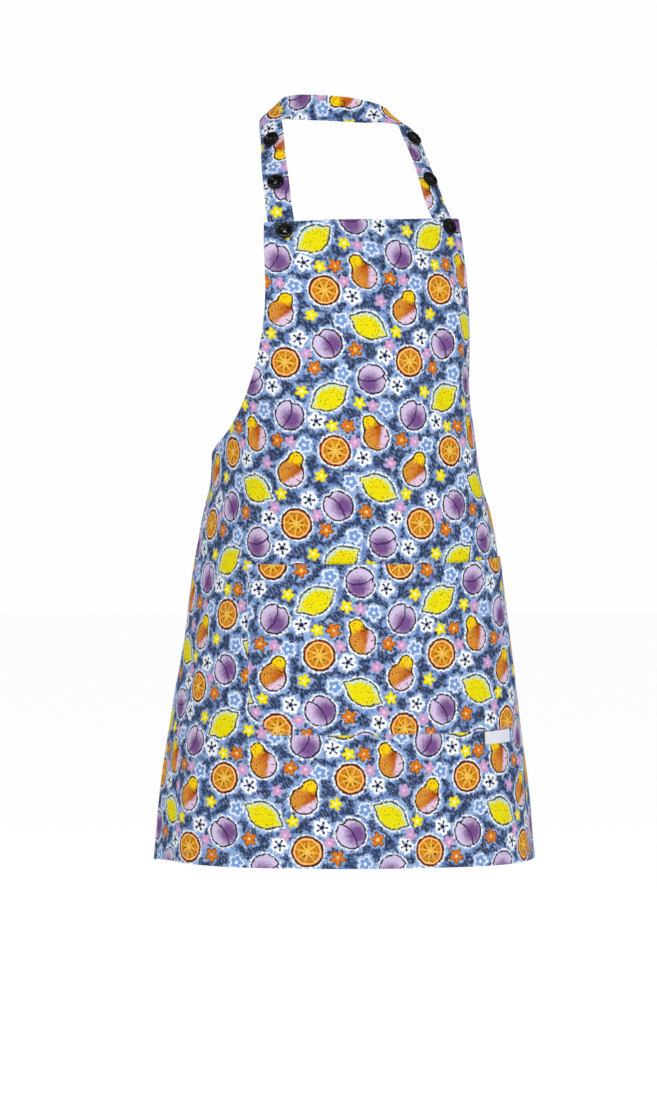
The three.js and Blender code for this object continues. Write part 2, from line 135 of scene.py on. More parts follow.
# %% [markdown]
# ## A small language for materials
# Node materials are easier to read as formulas. A `Value` wraps one socket, and sums, products and
# comparisons of values add the Math nodes. `Paint` holds a material, and its `node` method adds any
# other node from its type, its settings and what its sockets get.

# %% Values that add Math nodes
class Value:
    def __init__(self, paint, socket):
        self.paint = paint
        self.socket = socket

    def math(self, operation, *others):
        return self.paint.math(operation, self, *others)

    def __add__(self, other):
        return self.math("ADD", other)

    def __sub__(self, other):
        return self.math("SUBTRACT", other)

    def __rsub__(self, other):
        return self.paint.math("SUBTRACT", other, self)

    def __mul__(self, other):
        return self.math("MULTIPLY", other)

    def __truediv__(self, other):
        return self.math("DIVIDE", other)

    def __abs__(self):
        return self.math("ABSOLUTE")

    __radd__ = __add__
    __rmul__ = __mul__

    def step(self, low, high):
        """0 up to low, 1 from high on, and a smooth rise between them."""
        settings = {"interpolation_type": "SMOOTHSTEP"}
        inputs = {"Value": self, "From Min": min(low, high), "From Max": max(low, high)}
        if low > high:
            inputs.update({"To Min": 1.0, "To Max": 0.0})
        return self.paint.node("ShaderNodeMapRange", settings, inputs)


print("formula values ready")

# %% A material and its nodes
class Paint:
    def __init__(self, name):
        self.material = bpy.data.materials.new(name)
        self.material.use_nodes = True
        self.tree = self.material.node_tree
        self.surface = self.tree.nodes["Principled BSDF"]

    def feed(self, socket, value):
        if isinstance(value, Value):
            self.tree.links.new(value.socket, socket)
        else:
            socket.default_value = value

    def node(self, kind, settings, inputs, output=0):
        made = self.tree.nodes.new(kind)
        for name, value in settings.items():
            setattr(made, name, value)
        for place, value in inputs.items():
            self.feed(made.inputs[place], value)
        return Value(self, made.outputs[output])

    def math(self, operation, *numbers):
        return self.node("ShaderNodeMath", {"operation": operation}, dict(enumerate(numbers)))

    def vector(self, operation, *parts, output=0):
        return self.node("ShaderNodeVectorMath", {"operation": operation}, dict(enumerate(parts)), output)

    def blend(self, share, first, second):
        """A colour between two others."""
        inputs = {0: share, 6: first, 7: second}
        return self.node("ShaderNodeMix", {"data_type": "RGBA"}, inputs, 2)

    def blend_places(self, share, first, second):
        inputs = {0: share, 4: first, 5: second}
        return self.node("ShaderNodeMix", {"data_type": "VECTOR"}, inputs, 1)

    def noise(self, place, scale, detail=2.0, output=0):
        inputs = {"Vector": place, "Scale": scale, "Detail": detail}
        return self.node("ShaderNodeTexNoise", {"noise_dimensions": "2D"}, inputs, output)

    def parts(self, place):
        split = self.tree.nodes.new("ShaderNodeSeparateXYZ")
        self.feed(split.inputs[0], place)
        return Value(self, split.outputs[0]), Value(self, split.outputs[1])

    def flat_place(self):
        """Where a point lies on the flat cloth, in mm, from the piece's own map."""
        flat = self.node("ShaderNodeUVMap", {"uv_map": "flat"}, {})
        return self.node("ShaderNodeVectorMath", {"operation": "SCALE"}, {0: flat, "Scale": 1 / MM})

    def finish(self, sockets):
        for name, value in sockets.items():
            self.feed(self.surface.inputs[name], value)


def rgb(red, green, blue):
    """A colour that is read off a screen, 0 to 255, as Blender's linear one."""
    shares = [x / 255 for x in (red, green, blue)]
    linear = [x / 12.92 if x <= 0.04045 else ((x + 0.055) / 1.055) ** 2.4 for x in shares]
    return (*linear, 1.0)


print("material helpers ready; mid grey is", round(rgb(119, 119, 119)[0], 3))

# %% [markdown]
# ## The print
# The cotton carries a bright all-over print that looks like water colour: rounded motifs a little
# over 30 mm across with dark broken outlines and white halos, small ones between them, and a mottled
# blue ground. Ours is a generic print of fruit and blossom. A picture file could carry it, but drawn
# in nodes it stays sharp at any size. A repeat tile keeps it light: each motif has its places on the
# tile, and the cloth finds the nearest one of each kind. That gives every kind its own small flat
# drawing, which is then painted once.

# %% Where the motifs lie on the tile
TILE = (150, 190)
MOTIFS = {                               # places on the tile in mm, and a turn in degrees
    "orange": ((25, 20, 10), (76, 105, 70)),
    "plum": ((26, 147, 25), (75, 41, -35), (126, 189, 80)),
    "lemon": ((74, 168, -30), (125, 62, 28)),
    "pear": ((24, 84, 20), (124, 126, -28)),
    "white_blossom": ((42, 48, 0), (108, 97, 30), (7, 182, 15), (57, 140, 50), (143, 27, 10)),
    "blue_blossom": ((92, 69, 10), (41, 112, 40), (91, 6, 0), (141, 154, 25)),
    "yellow_floret": ((58, 76, 0), (109, 161, 20), (9, 55, 50), (43, 175, 10), (75, 134, 35)),
    "orange_floret": ((93, 134, 30), (8, 118, 0), (59, 13, 15), (107, 34, 45)),
    "pink_floret": ((142, 91, 0), (50, 30, 25), (100, 115, 40), (0, 39, 10), (125, 158, 55), (25, 116, 5)),
}


def nearest_motif(paint, flat, places):
    """The place on the cloth as the nearest motif of a kind sees it, from its own middle."""
    half = (TILE[0] / 2, TILE[1] / 2, 1.0)
    best, best_reach = None, None
    for x, y, turn in places:
        off = paint.vector("SUBTRACT", flat, (x, y, 0.0))
        off = paint.vector("WRAP", off, half, tuple(-side for side in half))
        inputs = {"Vector": off, "Angle": math.radians(turn)}
        off = paint.node("ShaderNodeVectorRotate", {"rotation_type": "Z_AXIS"}, inputs)
        reach = paint.vector("LENGTH", off, output=1)
        if best is None:
            best, best_reach = off, reach
        else:
            nearer = reach.math("LESS_THAN", best_reach)
            best = paint.blend_places(nearer, best, off)
            best_reach = reach.math("MINIMUM", best_reach)
    return best, best_reach


print(sum(len(places) for places in MOTIFS.values()), "motifs on a tile of", TILE, "mm")

# %% [markdown]
# Each drawing below takes a place measured from its motif's middle, in mm. It gives a colour and how
# far the place lies outside the outline, less than nothing inside it. Rounded outlines come from a
# circle's radius that changes with the angle. Shading comes from soft steps across the shape, and the
# grain, a noise that is shared by the whole print, makes the paint look wet and uneven.

# %% Drawings of the fruit
def draw_orange(paint, place, reach, grain):
    x, y = paint.parts(place)
    outside = reach - 18.0
    swing = abs((y.math("ARCTAN2", x) * 4.0).math("SINE"))
    flesh = paint.blend((reach / 15.0 + grain).step(0.6, 1.7), rgb(232, 174, 34), rgb(192, 90, 16))
    inside = paint.blend((swing * reach).step(2.6, 1.2), flesh, rgb(240, 192, 100))
    pip = swing.step(0.86, 0.96) * abs(reach - 6.8).step(2.6, 1.6) * grain.step(0.42, 0.48)
    inside = paint.blend(pip, inside, rgb(60, 34, 24))
    inside = paint.blend(reach.step(13.4, 14.2), inside, rgb(238, 206, 128))
    return paint.blend(reach.step(15.1, 15.8), inside, rgb(204, 84, 8)), outside


def draw_plum(paint, place, reach, grain):
    x, y = paint.parts(place)
    notch = (1.0 - (x / 4.0).math("POWER", 2.0)).math("MAXIMUM", 0.0) * y.step(6, 12)
    outside = reach + notch * 2.6 - 17.6
    shine = paint.vector("DISTANCE", place, (5.0, -4.0, 0.0), output=1) + (grain - 0.5) * 9.0
    skin = paint.blend(shine.step(5, 20), rgb(116, 78, 136), rgb(212, 196, 228))
    crease = abs(x + y * y * 0.02 - 2.0)
    return paint.blend(crease.step(1.2, 0.6), skin, rgb(70, 44, 90)), outside


def draw_lemon(paint, place, reach, grain):
    x, y = paint.parts(place)
    oval = ((x / 20.5).math("POWER", 2.0) + (y / 15.5).math("POWER", 2.0)).math("SQRT")
    tip = (1.0 - abs(y) / 6.0).math("MAXIMUM", 0.0) * abs(x).step(13, 21)
    outside = (oval - tip * 0.28 - 1.0) * 15.5
    middle = outside + (grain - 0.5) * 9.0 + y * 0.18
    peel = paint.blend(middle.step(-4.5, -0.5), rgb(234, 220, 12), rgb(200, 226, 216))
    pores = paint.noise(place, 0.42, 1.0)
    return paint.blend(pores.step(0.66, 0.72) * 0.8, peel, rgb(52, 50, 36)), outside


def draw_pear(paint, place, reach, grain):
    x, y = paint.parts(place)
    body = paint.vector("DISTANCE", place, (0.0, -5.0, 0.0), output=1) - 16.0
    top = paint.vector("DISTANCE", place, (1.5, 13.2, 0.0), output=1) - 8.6
    outside = body.math("SMOOTH_MIN", top, 8.0)
    mottle = (grain - 0.5) * 12.0
    skin = paint.blend((x + mottle).step(-8, 8), rgb(216, 144, 54), rgb(182, 86, 22))
    skin = paint.blend((y + mottle * 0.4).step(5, 11), skin, rgb(248, 206, 14))
    skin = paint.blend((x - y * 0.8 + mottle * 0.5).step(8, 14), skin, rgb(226, 198, 220))
    freckles = paint.noise(place, 0.34, 1.0)
    return paint.blend(freckles.step(0.66, 0.71) * 0.9, skin, rgb(56, 32, 28)), outside


print("four fruits drawn")

# %% Drawings of the blossoms and florets
def petal_reach(paint, place, petals, middle, swing):
    x, y = paint.parts(place)
    wave = (y.math("ARCTAN2", x) * (petals / 2)).math("COSINE")
    return abs(wave) * swing + middle


def draw_white_blossom(paint, place, reach, grain):
    outside = reach - petal_reach(paint, place, 5, 7.0, 3.0)
    petal = paint.blend((reach + grain * 4.0).step(4, 8), rgb(190, 202, 228), rgb(248, 249, 252))
    vein = petal_reach(paint, place, 5, 0.0, 1.0).step(0.8, 0.92) * abs(reach - 5.2).step(2.4, 1.6)
    petal = paint.blend(vein, petal, rgb(34, 38, 58))
    return paint.blend(reach.step(2.9, 2.2), petal, rgb(30, 34, 54)), outside


def draw_blue_blossom(paint, place, reach, grain):
    outside = reach - petal_reach(paint, place, 5, 6.4, 3.0)
    petal = paint.blend((outside + grain * 2.0).step(-1.8, 0.2), rgb(116, 152, 212), rgb(226, 234, 246))
    return paint.blend(reach.step(2.4, 1.6), petal, rgb(226, 234, 248)), outside


def floret(petal_colour, heart_colour, size):
    def draw(paint, place, reach, grain):
        outside = reach - petal_reach(paint, place, 5, size * 0.5, size * 0.5)
        return paint.blend((reach + grain * 3.0).step(3.8, 2.4), petal_colour, heart_colour), outside
    return draw


DRAWINGS = {                             # drawing, how dark its outline is, where its halo starts
    "orange": (draw_orange, 0.95, 0.0),
    "plum": (draw_plum, 0.95, 0.0),
    "lemon": (draw_lemon, 0.9, 0.0),
    "pear": (draw_pear, 0.95, 0.0),
    "white_blossom": (draw_white_blossom, 0.1, 1.2),
    "blue_blossom": (draw_blue_blossom, 0.0, 1.8),
    "yellow_floret": (floret(rgb(246, 226, 10), rgb(255, 248, 190), 8.0), 0.3, 3.4),
    "orange_floret": (floret(rgb(218, 120, 30), rgb(250, 206, 130), 9.5), 0.7, 2.6),
    "pink_floret": (floret(rgb(206, 156, 198), rgb(230, 200, 226), 7.6), 0.0, 4.0),
}
print(len(DRAWINGS), "drawings in all")

# %% [markdown]
# The cloth's colour is painted in layers, as on a printing table: the mottled ground, darker where it
# is far from any motif, then the white halos with ragged edges, then the motifs and their outlines.
# A little noise pushes every place about, which gives the outlines a hand-drawn wobble. The weave is
# a fine bump of crossing threads, with painted shade in the gaps between them. The inside of the cloth
# gets a paler copy of the same print, since the ink doesn't go right through.

# %% The print's layers
PALE_BLUE = rgb(146, 174, 218)
MID_BLUE = rgb(99, 130, 186)
DEEP_BLUE = rgb(48, 61, 96)
DARK_STROKE = rgb(26, 32, 54)
LIGHT_STROKE = rgb(184, 204, 238)
HALO_WHITE = rgb(240, 244, 250)
OUTLINE_INK = rgb(22, 20, 34)
STROKE_TURN = 1.0
STROKE_SHAPE = (0.35, 1.0, 0.0)
WOBBLE = 2.6
OUTLINE = 1.45


def mottled_ground(paint, flat, clear, grain):
    """The blue ground: pale near the motifs, dark and brushed in the gaps between them."""
    drift = paint.noise(flat, 0.06, 4.0)
    cloud = clear + (drift - 0.5) * 30.0 + (grain - 0.5) * 10.0
    ground = paint.blend(cloud.step(3, 10), PALE_BLUE, MID_BLUE)
    mottle = paint.noise(flat, 0.11, 5.0)
    shade = (clear * 0.9 + (mottle - 0.5) * 20.0 + (grain - 0.5) * 8.0).step(3.6, 7.0)
    ground = paint.blend(shade * 0.94, ground, DEEP_BLUE)
    inputs = {"Vector": flat, "Angle": STROKE_TURN}
    slanted = paint.node("ShaderNodeVectorRotate", {"rotation_type": "Z_AXIS"}, inputs)
    stroke = paint.noise(paint.vector("MULTIPLY", slanted, STROKE_SHAPE), 0.6, 3.0)
    ground = paint.blend(stroke.step(0.5, 0.36) * (shade * 0.62 + 0.06), ground, DARK_STROKE)
    return paint.blend(stroke.step(0.54, 0.7) * 0.36, ground, LIGHT_STROKE)


def print_colour(paint, flat):
    slow = paint.vector("SUBTRACT", paint.noise(flat, 0.16, 2.0, 1), (0.5, 0.5, 0.5))
    slow = paint.vector("MULTIPLY", slow, (WOBBLE, WOBBLE, 0.0))
    drawn_at = paint.vector("ADD", flat, slow)
    grain = paint.noise(flat, 0.3, 6.0)
    fleck = paint.noise(flat, 0.9, 3.0)
    layers = []
    clear = None
    for kind, places in MOTIFS.items():
        place, reach = nearest_motif(paint, drawn_at, places)
        draw, outline, halo_start = DRAWINGS[kind]
        colour, outside = draw(paint, place, reach, grain)
        layers.append((colour, outside, outline))
        held_off = outside + halo_start
        clear = held_off if clear is None else clear.math("MINIMUM", held_off)
    halo = clear + (grain - 0.5) * 8.0 + (fleck - 0.5) * 4.0
    ground = mottled_ground(paint, flat, clear, grain)
    cloth = paint.blend(halo.step(3.0, 1.1), ground, HALO_WHITE)
    for colour, outside, outline in layers:
        cloth = paint.blend(outside.step(0.3, -0.3), cloth, colour)
        if outline:
            line = abs(outside + 0.5).step(OUTLINE, OUTLINE * 0.5) * grain.step(0.34, 0.42) * outline
            cloth = paint.blend(line, cloth, OUTLINE_INK)
    return cloth


print("the print has", len(DRAWINGS), "kinds of motif on its ground")

# %% Printed cotton
THREAD_PITCH = 0.55
BACK_FADE = 0.62
BACK_YARN = rgb(214, 221, 236)
WEAVE_GAP_SHADE = rgb(24, 26, 40)


def weave_height(paint, flat):
    x, y = paint.parts(flat)
    turns = 2 * math.pi / THREAD_PITCH
    return (x * turns).math("SINE") * (y * turns).math("SINE") + paint.noise(flat, 0.35, 3.0) * 2.0


def printed_cotton(name, fade):
    """Printed cloth; fade is how much of the white yarn shows through the ink."""
    paint = Paint(name)
    flat = paint.flat_place()
    colour = print_colour(paint, flat)
    if fade:
        colour = paint.blend(fade, colour, BACK_YARN)
    height = weave_height(paint, flat)
    # painted shade: the colour is darkened in the gaps between the threads
    colour = paint.blend(height.step(1.4, -0.2) * 0.09, colour, WEAVE_GAP_SHADE)
    bump = paint.node("ShaderNodeBump", {}, {"Height": height, "Strength": 0.6, "Distance": 0.0001})
    paint.finish({"Base Color": colour, "Roughness": height * 0.02 + 0.86, "Normal": bump})
    paint.finish({"Sheen Weight": 0.02, "Sheen Roughness": 0.4, "Specular IOR Level": 0.04})
    return paint.material


cotton_face = printed_cotton("printed_cotton_face", 0.0)
cotton_back = printed_cotton("printed_cotton_back", BACK_FADE)
print("cotton materials have", len(cotton_face.node_tree.nodes), "nodes each")

# %% [markdown]
# ## The draped cloth
# Cloth is measured flat: "across" from the centre front and "drop" down from the bib's top edge. At
# each drop the worn cloth follows a level section, a squared ellipse, and soft folds stand out from
# it. A cloth simulation could find such a form too, but these sections are the ones of the CAD
# model, so every seam and button lands exactly where the frame has it.

# %% Level sections
HALF_WIDTH = 390
LENGTH = 760
WAIST_DROP = 283
BIB_HALF = 130
FALL = 750
BIB_TOP = -142
SECTION_STEPS = 180
SECTIONS = np.array((                    # drop, middle, half width, depth, squareness
    (0, -71, 165, 76, 2.0),
    (90, -56, 156, 128, 2.3),
    (210, -61, 146, 139, 2.5),
    (255, -66, 148, 142, 2.5),
    (307, -73, 153, 143, 2.5),
    (355, -72, 163, 152, 2.5),
    (408, -75, 174, 156, 2.5),
    (498, -77, 188, 160, 2.5),
    (570, -76, 200, 166, 2.5),
    (670, -74, 217, 175, 2.4),
    (760, -72, 226, 181, 2.4),
))


def section_sizes(drop):
    """The section's four sizes at each drop, on smooth curves through the table's rows."""
    drops, sizes = SECTIONS[:, 0], SECTIONS[:, 1:]
    slopes = np.diff(sizes, axis=0) / np.diff(drops)[:, None]
    tangents = np.vstack((slopes[:1], (slopes[1:] + slopes[:-1]) / 2, slopes[-1:]))
    drop = np.clip(drop, 0, LENGTH)
    low = np.clip(np.searchsorted(drops, drop, side="right") - 1, 0, len(drops) - 2)
    span = drops[low + 1] - drops[low]
    p = ((drop - drops[low]) / span)[:, None]
    span = span[:, None]
    return ((2 * p**3 - 3 * p**2 + 1) * sizes[low] + (p**3 - 2 * p**2 + p) * span * tangents[low]
            + (3 * p**2 - 2 * p**3) * sizes[low + 1] + (p**3 - p**2) * span * tangents[low + 1]).T


def half_sections(drop):
    """Half of each level section, centre front to centre back, and the length run along it."""
    middle, half, depth, square = (size[:, None] for size in section_sizes(drop))
    turn = np.linspace(0, np.pi, SECTION_STEPS + 1)
    total = np.abs(np.cos(turn) / depth) ** square + np.abs(np.sin(turn) / half) ** square
    reach = total ** (-1 / square)
    x, y = reach * np.sin(turn), middle - reach * np.cos(turn)
    run = np.cumsum(np.hypot(np.diff(x, axis=1), np.diff(y, axis=1)), axis=1)
    return x, y, np.hstack((np.zeros((len(drop), 1)), run))


def half_girth(drop):
    return half_sections(np.atleast_1d(float(drop)))[2][0, -1]


for level, drop in (("waist", WAIST_DROP), ("hem", LENGTH)):
    print(level, "girth", round(2 * half_girth(drop)), "mm")

# %% Folds and the draped point
FOLDS = (                                # across, lean, from, full, gone, width, depth
    (92, 0.06, 10, 150, 330, 17, 4.5),
    (60, 0.1, 30, 170, 330, 18, -3),
    (-104, -0.12, 30, 190, 330, 20, 3),
    (-205, 0.55, 290, 350, 470, 17, 3),
    (215, -0.5, 290, 350, 470, 17, 3),
    (-262, -0.05, 330, 760, 1500, 34, 5),
    (-165, -0.04, 420, 760, 1500, 36, -4),
    (-70, -0.03, 430, 760, 1500, 40, 4),
    (28, 0.0, 450, 760, 1500, 36, -3),
    (112, 0.04, 400, 760, 1500, 38, 4.5),
    (200, 0.05, 380, 760, 1500, 34, -4),
    (290, 0.05, 330, 760, 1500, 36, 5),
)
PULLS = (                                # where the worn cloth is lifted: across, drop, wide, tall, lift
    (-130, 0, 75, 150, -5.6),
    (130, 0, 75, 150, 5.6),
    (200, 450, 100, 240, 10),
    (-150, 790, 150, 130, 3.5),
    (-330, 790, 90, 130, 6),
)
NORMAL_STEP = 2
BATCH = 4000


def soft_step(value, low, high):
    share = np.clip((value - low) / (high - low), 0, 1)
    return share * share * (3 - 2 * share)


def fold_height(across, drop):
    height = np.zeros(len(across))
    for place, lean, start, full, gone, width, depth in FOLDS:
        strength = soft_step(drop, start, full) * (1 - soft_step(drop, full, gone))
        off = (across - place - lean * (drop - start)) / width
        height += depth * strength * np.exp(-off * off)
    return height


def pull(across, drop):
    lifted = np.zeros(len(across))
    for place, level, wide, tall, lift in PULLS:
        lifted += lift * np.exp(-(((across - place) / wide) ** 2) - ((drop - level) / tall) ** 2)
    return lifted


def draped_batch(across, drop):
    x, y, run = half_sections(drop)
    row = np.arange(len(drop))
    reach = np.minimum(np.abs(across), run[:, -1])
    step = np.clip((run < reach[:, None]).sum(axis=1), 1, SECTION_STEPS)
    here = np.stack((x[row, step - 1], y[row, step - 1]), axis=1)
    ahead = np.stack((x[row, step], y[row, step]), axis=1)
    length = run[row, step] - run[row, step - 1]
    along = (ahead - here) / length[:, None]
    spot = here + along * (reach - run[row, step - 1])[:, None]
    spot += np.stack((along[:, 1], -along[:, 0]), axis=1) * fold_height(across, drop)[:, None]
    height = BIB_TOP - drop * FALL / LENGTH + pull(across, drop)
    return np.stack((spot[:, 0] * np.sign(across), spot[:, 1], height), axis=1)


def draped(across, drop):
    across, drop = (np.asarray(x, float) for x in (across, drop))
    batches = np.array_split(np.arange(len(across)), len(across) // BATCH + 1)
    return np.vstack([draped_batch(across[part], drop[part]) for part in batches])


def unit(vectors):
    return vectors / np.linalg.norm(vectors, axis=1, keepdims=True)


def outward(across, drop):
    """The way the cloth's outer face looks."""
    across, drop = (np.asarray(x, float) for x in (across, drop))
    right = draped(across + NORMAL_STEP, drop) - draped(across - NORMAL_STEP, drop)
    down = draped(across, drop + NORMAL_STEP) - draped(across, drop - NORMAL_STEP)
    return unit(np.cross(down, right))


def on_cloth(across, drop, height):
    """Points that stand off the cloth's outer face by a height."""
    return draped(across, drop) + outward(across, drop) * np.reshape(height, (-1, 1))


print("centre of the hem at", np.round(draped([0.0], [LENGTH])[0], 1), "mm")

# %% [markdown]
# ## Sheets from grids
# A sheet starts as Blender's flat grid. Even rows would need to be very fine to show a hem, so columns
# and rows are laid where sewing needs them, close together at hems and seams and wider between, and
# each point goes to its place in space. The flat place is kept as the piece's own map, so the print
# lies on the cloth as it was cut.

# %% Grid and wall helpers
SMOOTH_ANGLE = math.radians(50)


def corner_points(mesh):
    """The point that each face corner stands on."""
    points = np.empty(len(mesh.loops), int)
    mesh.loops.foreach_get("vertex_index", points)
    return points


def keep_flat(mesh, flat):
    """Writes the flat place of each point, in mm, as the piece's own map."""
    corner_flat = flat[corner_points(mesh)] * MM
    mesh.uv_layers.new(name="flat").data.foreach_set("uv", corner_flat.ravel())


def grid_sheet(name, columns, rows, place):
    """A grid with these columns and rows; place gives its points and their flat places, in mm."""
    bpy.ops.object.select_all(action="DESELECT")
    bpy.ops.mesh.primitive_grid_add(
        x_subdivisions=len(columns) - 1, y_subdivisions=len(rows) - 1, size=1, calc_uvs=False)
    piece = bpy.context.object
    piece.name = piece.data.name = name
    mesh = piece.data
    spots = np.empty(len(mesh.vertices) * 3)
    mesh.vertices.foreach_get("co", spots)
    spots = spots.reshape(-1, 3)
    column = np.rint((spots[:, 0] + 0.5) * (len(columns) - 1)).astype(int)
    row = np.rint((0.5 - spots[:, 1]) * (len(rows) - 1)).astype(int)
    points, flat = place(np.asarray(columns, float)[column], np.asarray(rows, float)[row])
    mesh.vertices.foreach_set("co", (points * MM).ravel())
    keep_flat(mesh, flat)
    mesh.update()
    return piece


def thicken(piece, wall, shares=None):
    """Gives a sheet its wall, inwards from its outer face; shares of it may differ by point."""
    bpy.context.view_layer.objects.active = piece
    solid = piece.modifiers.new("wall", "SOLIDIFY")
    solid.thickness = wall * MM
    solid.offset = -1
    solid.use_even_offset = False
    if shares is not None:
        group = piece.vertex_groups.new(name="wall")
        for point, share in enumerate(shares):
            group.add([point], float(share), "REPLACE")
        solid.vertex_group = group.name
    if len(piece.data.materials) > 1:
        solid.material_offset = 1
    bpy.ops.object.modifier_apply(modifier=solid.name)
    bpy.ops.object.shade_smooth_by_angle(angle=SMOOTH_ANGLE)


def edge_share(distance, thin, width):
    """Share of the wall near a folded edge: thin at the edge, whole from a width on."""
    return thin + (1 - thin) * soft_step(distance, 0, width)


def settle(piece, slot, *nodes):
    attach(piece, "root")
    if nodes:
        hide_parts(*nodes)


def both_ways(values):
    """Values from a middle line out, as a full row of columns from side to side."""
    values = np.asarray(values, float)
    return np.concatenate((-values[:0:-1], values))


def spaced(start, end, pitch):
    return np.linspace(start, end, max(2, int(round(abs(end - start) / pitch)) + 1))


print("grid helpers ready")

# %% [markdown]
# ## The apron's panel
# The bib and the skirt are one cut. Its edges are turned in twice and stitched 13 mm from the fold.
# Folded layers could be modelled one by one, but they would lie in each other. So near an edge the
# wall is thicker, the very edge is rounded, and the stitch line pulls a shallow groove with small
# puckers beside it. The bib's rows bow down to the armhole's curve.

# %% The flat cut
ARMHOLE = np.array(((BIB_HALF, 0), (157, 136), (141, 276), (HALF_WIDTH, WAIST_DROP)), float)
HEM = 14
HEM_SEAM = 13
HEM_LINES = (0, 0.7, 2, 4, 6.5, 8.5, 9.6, 12.2, 12.7, 13.2, 13.8, 15, 17.5)
CLOTH_PITCH = 4.6
ARMHOLE_STEPS = 200
ARMHOLE_REACH = 40                       # how far below the waist its end can be the nearest edge


def armhole(share):
    share = np.asarray(share, float)[:, None]
    rest = 1 - share
    return (rest**3 * ARMHOLE[0] + 3 * rest**2 * share * ARMHOLE[1]
            + 3 * rest * share**2 * ARMHOLE[2] + share**3 * ARMHOLE[3])


def panel_flat(column, row):
    """Flat places of grid lines: columns keep their distance to the edge inside the hem band."""
    edge = np.stack((np.full(len(row), HALF_WIDTH), row), axis=1).astype(float)
    bib = row < WAIST_DROP
    edge[bib] = armhole(row[bib] / WAIST_DROP)
    band = HEM_LINES[-1]
    inner = column * (edge[:, 0] - band) / (HALF_WIDTH - band)
    outer = np.sign(column) * (edge[:, 0] - (HALF_WIDTH - np.abs(column)))
    across = np.where(np.abs(column) > HALF_WIDTH - band, outer, inner)
    drop = row + (edge[:, 1] - row) * (across / edge[:, 0]) ** 2
    return across, drop


armhole_line = armhole(np.linspace(0, 1, ARMHOLE_STEPS))


def edge_distance(across, drop):
    """How far a flat place lies from the cut's nearest edge."""
    distance = np.minimum(drop, LENGTH - drop)
    skirt = drop >= WAIST_DROP
    distance[skirt] = np.minimum(distance[skirt], HALF_WIDTH - np.abs(across[skirt]))
    near = drop < WAIST_DROP + ARMHOLE_REACH
    places = np.stack((np.abs(across[near]), drop[near]), axis=1)
    gaps = np.linalg.norm(places[:, None] - armhole_line[None], axis=2).min(axis=1)
    distance[near] = np.minimum(distance[near], gaps)
    return np.maximum(distance, 0)


inner_columns = spaced(0, HALF_WIDTH - HEM_LINES[-1], CLOTH_PITCH)
panel_columns = both_ways(np.concatenate((inner_columns, HALF_WIDTH - np.array(HEM_LINES[-2::-1]))))
panel_rows = np.concatenate((
    HEM_LINES[:-1], spaced(HEM_LINES[-1], WAIST_DROP, CLOTH_PITCH)[:-1],
    spaced(WAIST_DROP, LENGTH - HEM_LINES[-1], CLOTH_PITCH)[:-1], LENGTH - np.array(HEM_LINES[::-1])))
print("panel grid:", len(panel_columns), "columns and", len(panel_rows), "rows")

# %% Relief of hems and small wrinkles
EDGE_ROUNDING = 0.8
HEM_SWELL = 0.3
SEAM_GROOVE = 0.55
PUCKER = 0.22
WIDE_WRINKLE = 1.3
FINE_WRINKLE = 0.5
CALM_BAND = 30                           # wrinkles fade out this near to an edge


def bell(value, middle, width):
    return np.exp(-(((value - middle) / width) ** 2))


def wrinkles(across, drop, size, seed):
    places = np.stack((across / size, drop / size, np.full(len(across), float(seed))), axis=1)
    return np.array([noise.noise(place) for place in places])


def hem_relief(across, drop, distance):
    pucker = np.sin((across - drop) * 0.42 + 3 * wrinkles(across, drop, 60, 5))
    beside_seam = PUCKER * pucker * bell(distance, HEM_SEAM, 4.5)
    return (-EDGE_ROUNDING * np.exp(-distance / 0.8) + HEM_SWELL * bell(distance, HEM / 2, 4)
            - SEAM_GROOVE * bell(distance, HEM_SEAM, 0.7) + beside_seam)


def panel_relief(across, drop):
    distance = edge_distance(across, drop)
    wrinkled = WIDE_WRINKLE * wrinkles(across, drop, 75, 1) + FINE_WRINKLE * wrinkles(across, drop, 26, 2)
    return hem_relief(across, drop, distance) + soft_step(distance, 0, CALM_BAND) * wrinkled


def panel_place(column, row):
    across, drop = panel_flat(column, row)
    flat = np.stack((across, -drop), axis=1)
    return on_cloth(across, drop, panel_relief(across, drop)), flat


apron_cloth = grid_sheet("apron_cloth", panel_columns, panel_rows, panel_place)
print("apron cloth:", len(apron_cloth.data.polygons), "faces before its wall")

# %% [markdown]
# Two buttonholes are slit in the bib's top corners, so that the lowest buttons can pass through. A
# Boolean could cut them, but would break up the even rows. The faces there are picked by their place
# on the flat cloth instead, and deleted. Then the Solidify modifier gives the cloth its wall, thicker
# in the hems and thin at the folded edge. A hem that is turned in shows the printed face on the inside
# too, so its inner faces get that finish and another place of the print.

# %% Buttonholes and the panel's wall
WALL = 1.2
HEM_WALL = 2.2
STRAP_ACROSS = 108
BUTTONHOLE_DROP = 11
BUTTONHOLE_LENGTH = 22
SLIT_HALF = 0.4
HEM_PRINT = (61, 83)                     # how far off the print lies on a hem that is turned in


def panel_wall(distance):
    return WALL + (HEM_WALL - WALL) * soft_step(distance, HEM + 1.5, HEM - 0.5)


def face_flats(piece):
    """The flat places of each face's four corners, in mm."""
    mesh = piece.data
    flat = np.empty(len(mesh.loops) * 2)
    mesh.uv_layers["flat"].data.foreach_get("uv", flat)
    return flat.reshape(-1, 4, 2) / MM


def point_flats(piece):
    """The flat place of each point of a sheet, in mm."""
    flat = np.zeros((len(piece.data.vertices), 2))
    flat[corner_points(piece.data)] = face_flats(piece).reshape(-1, 2)
    return flat


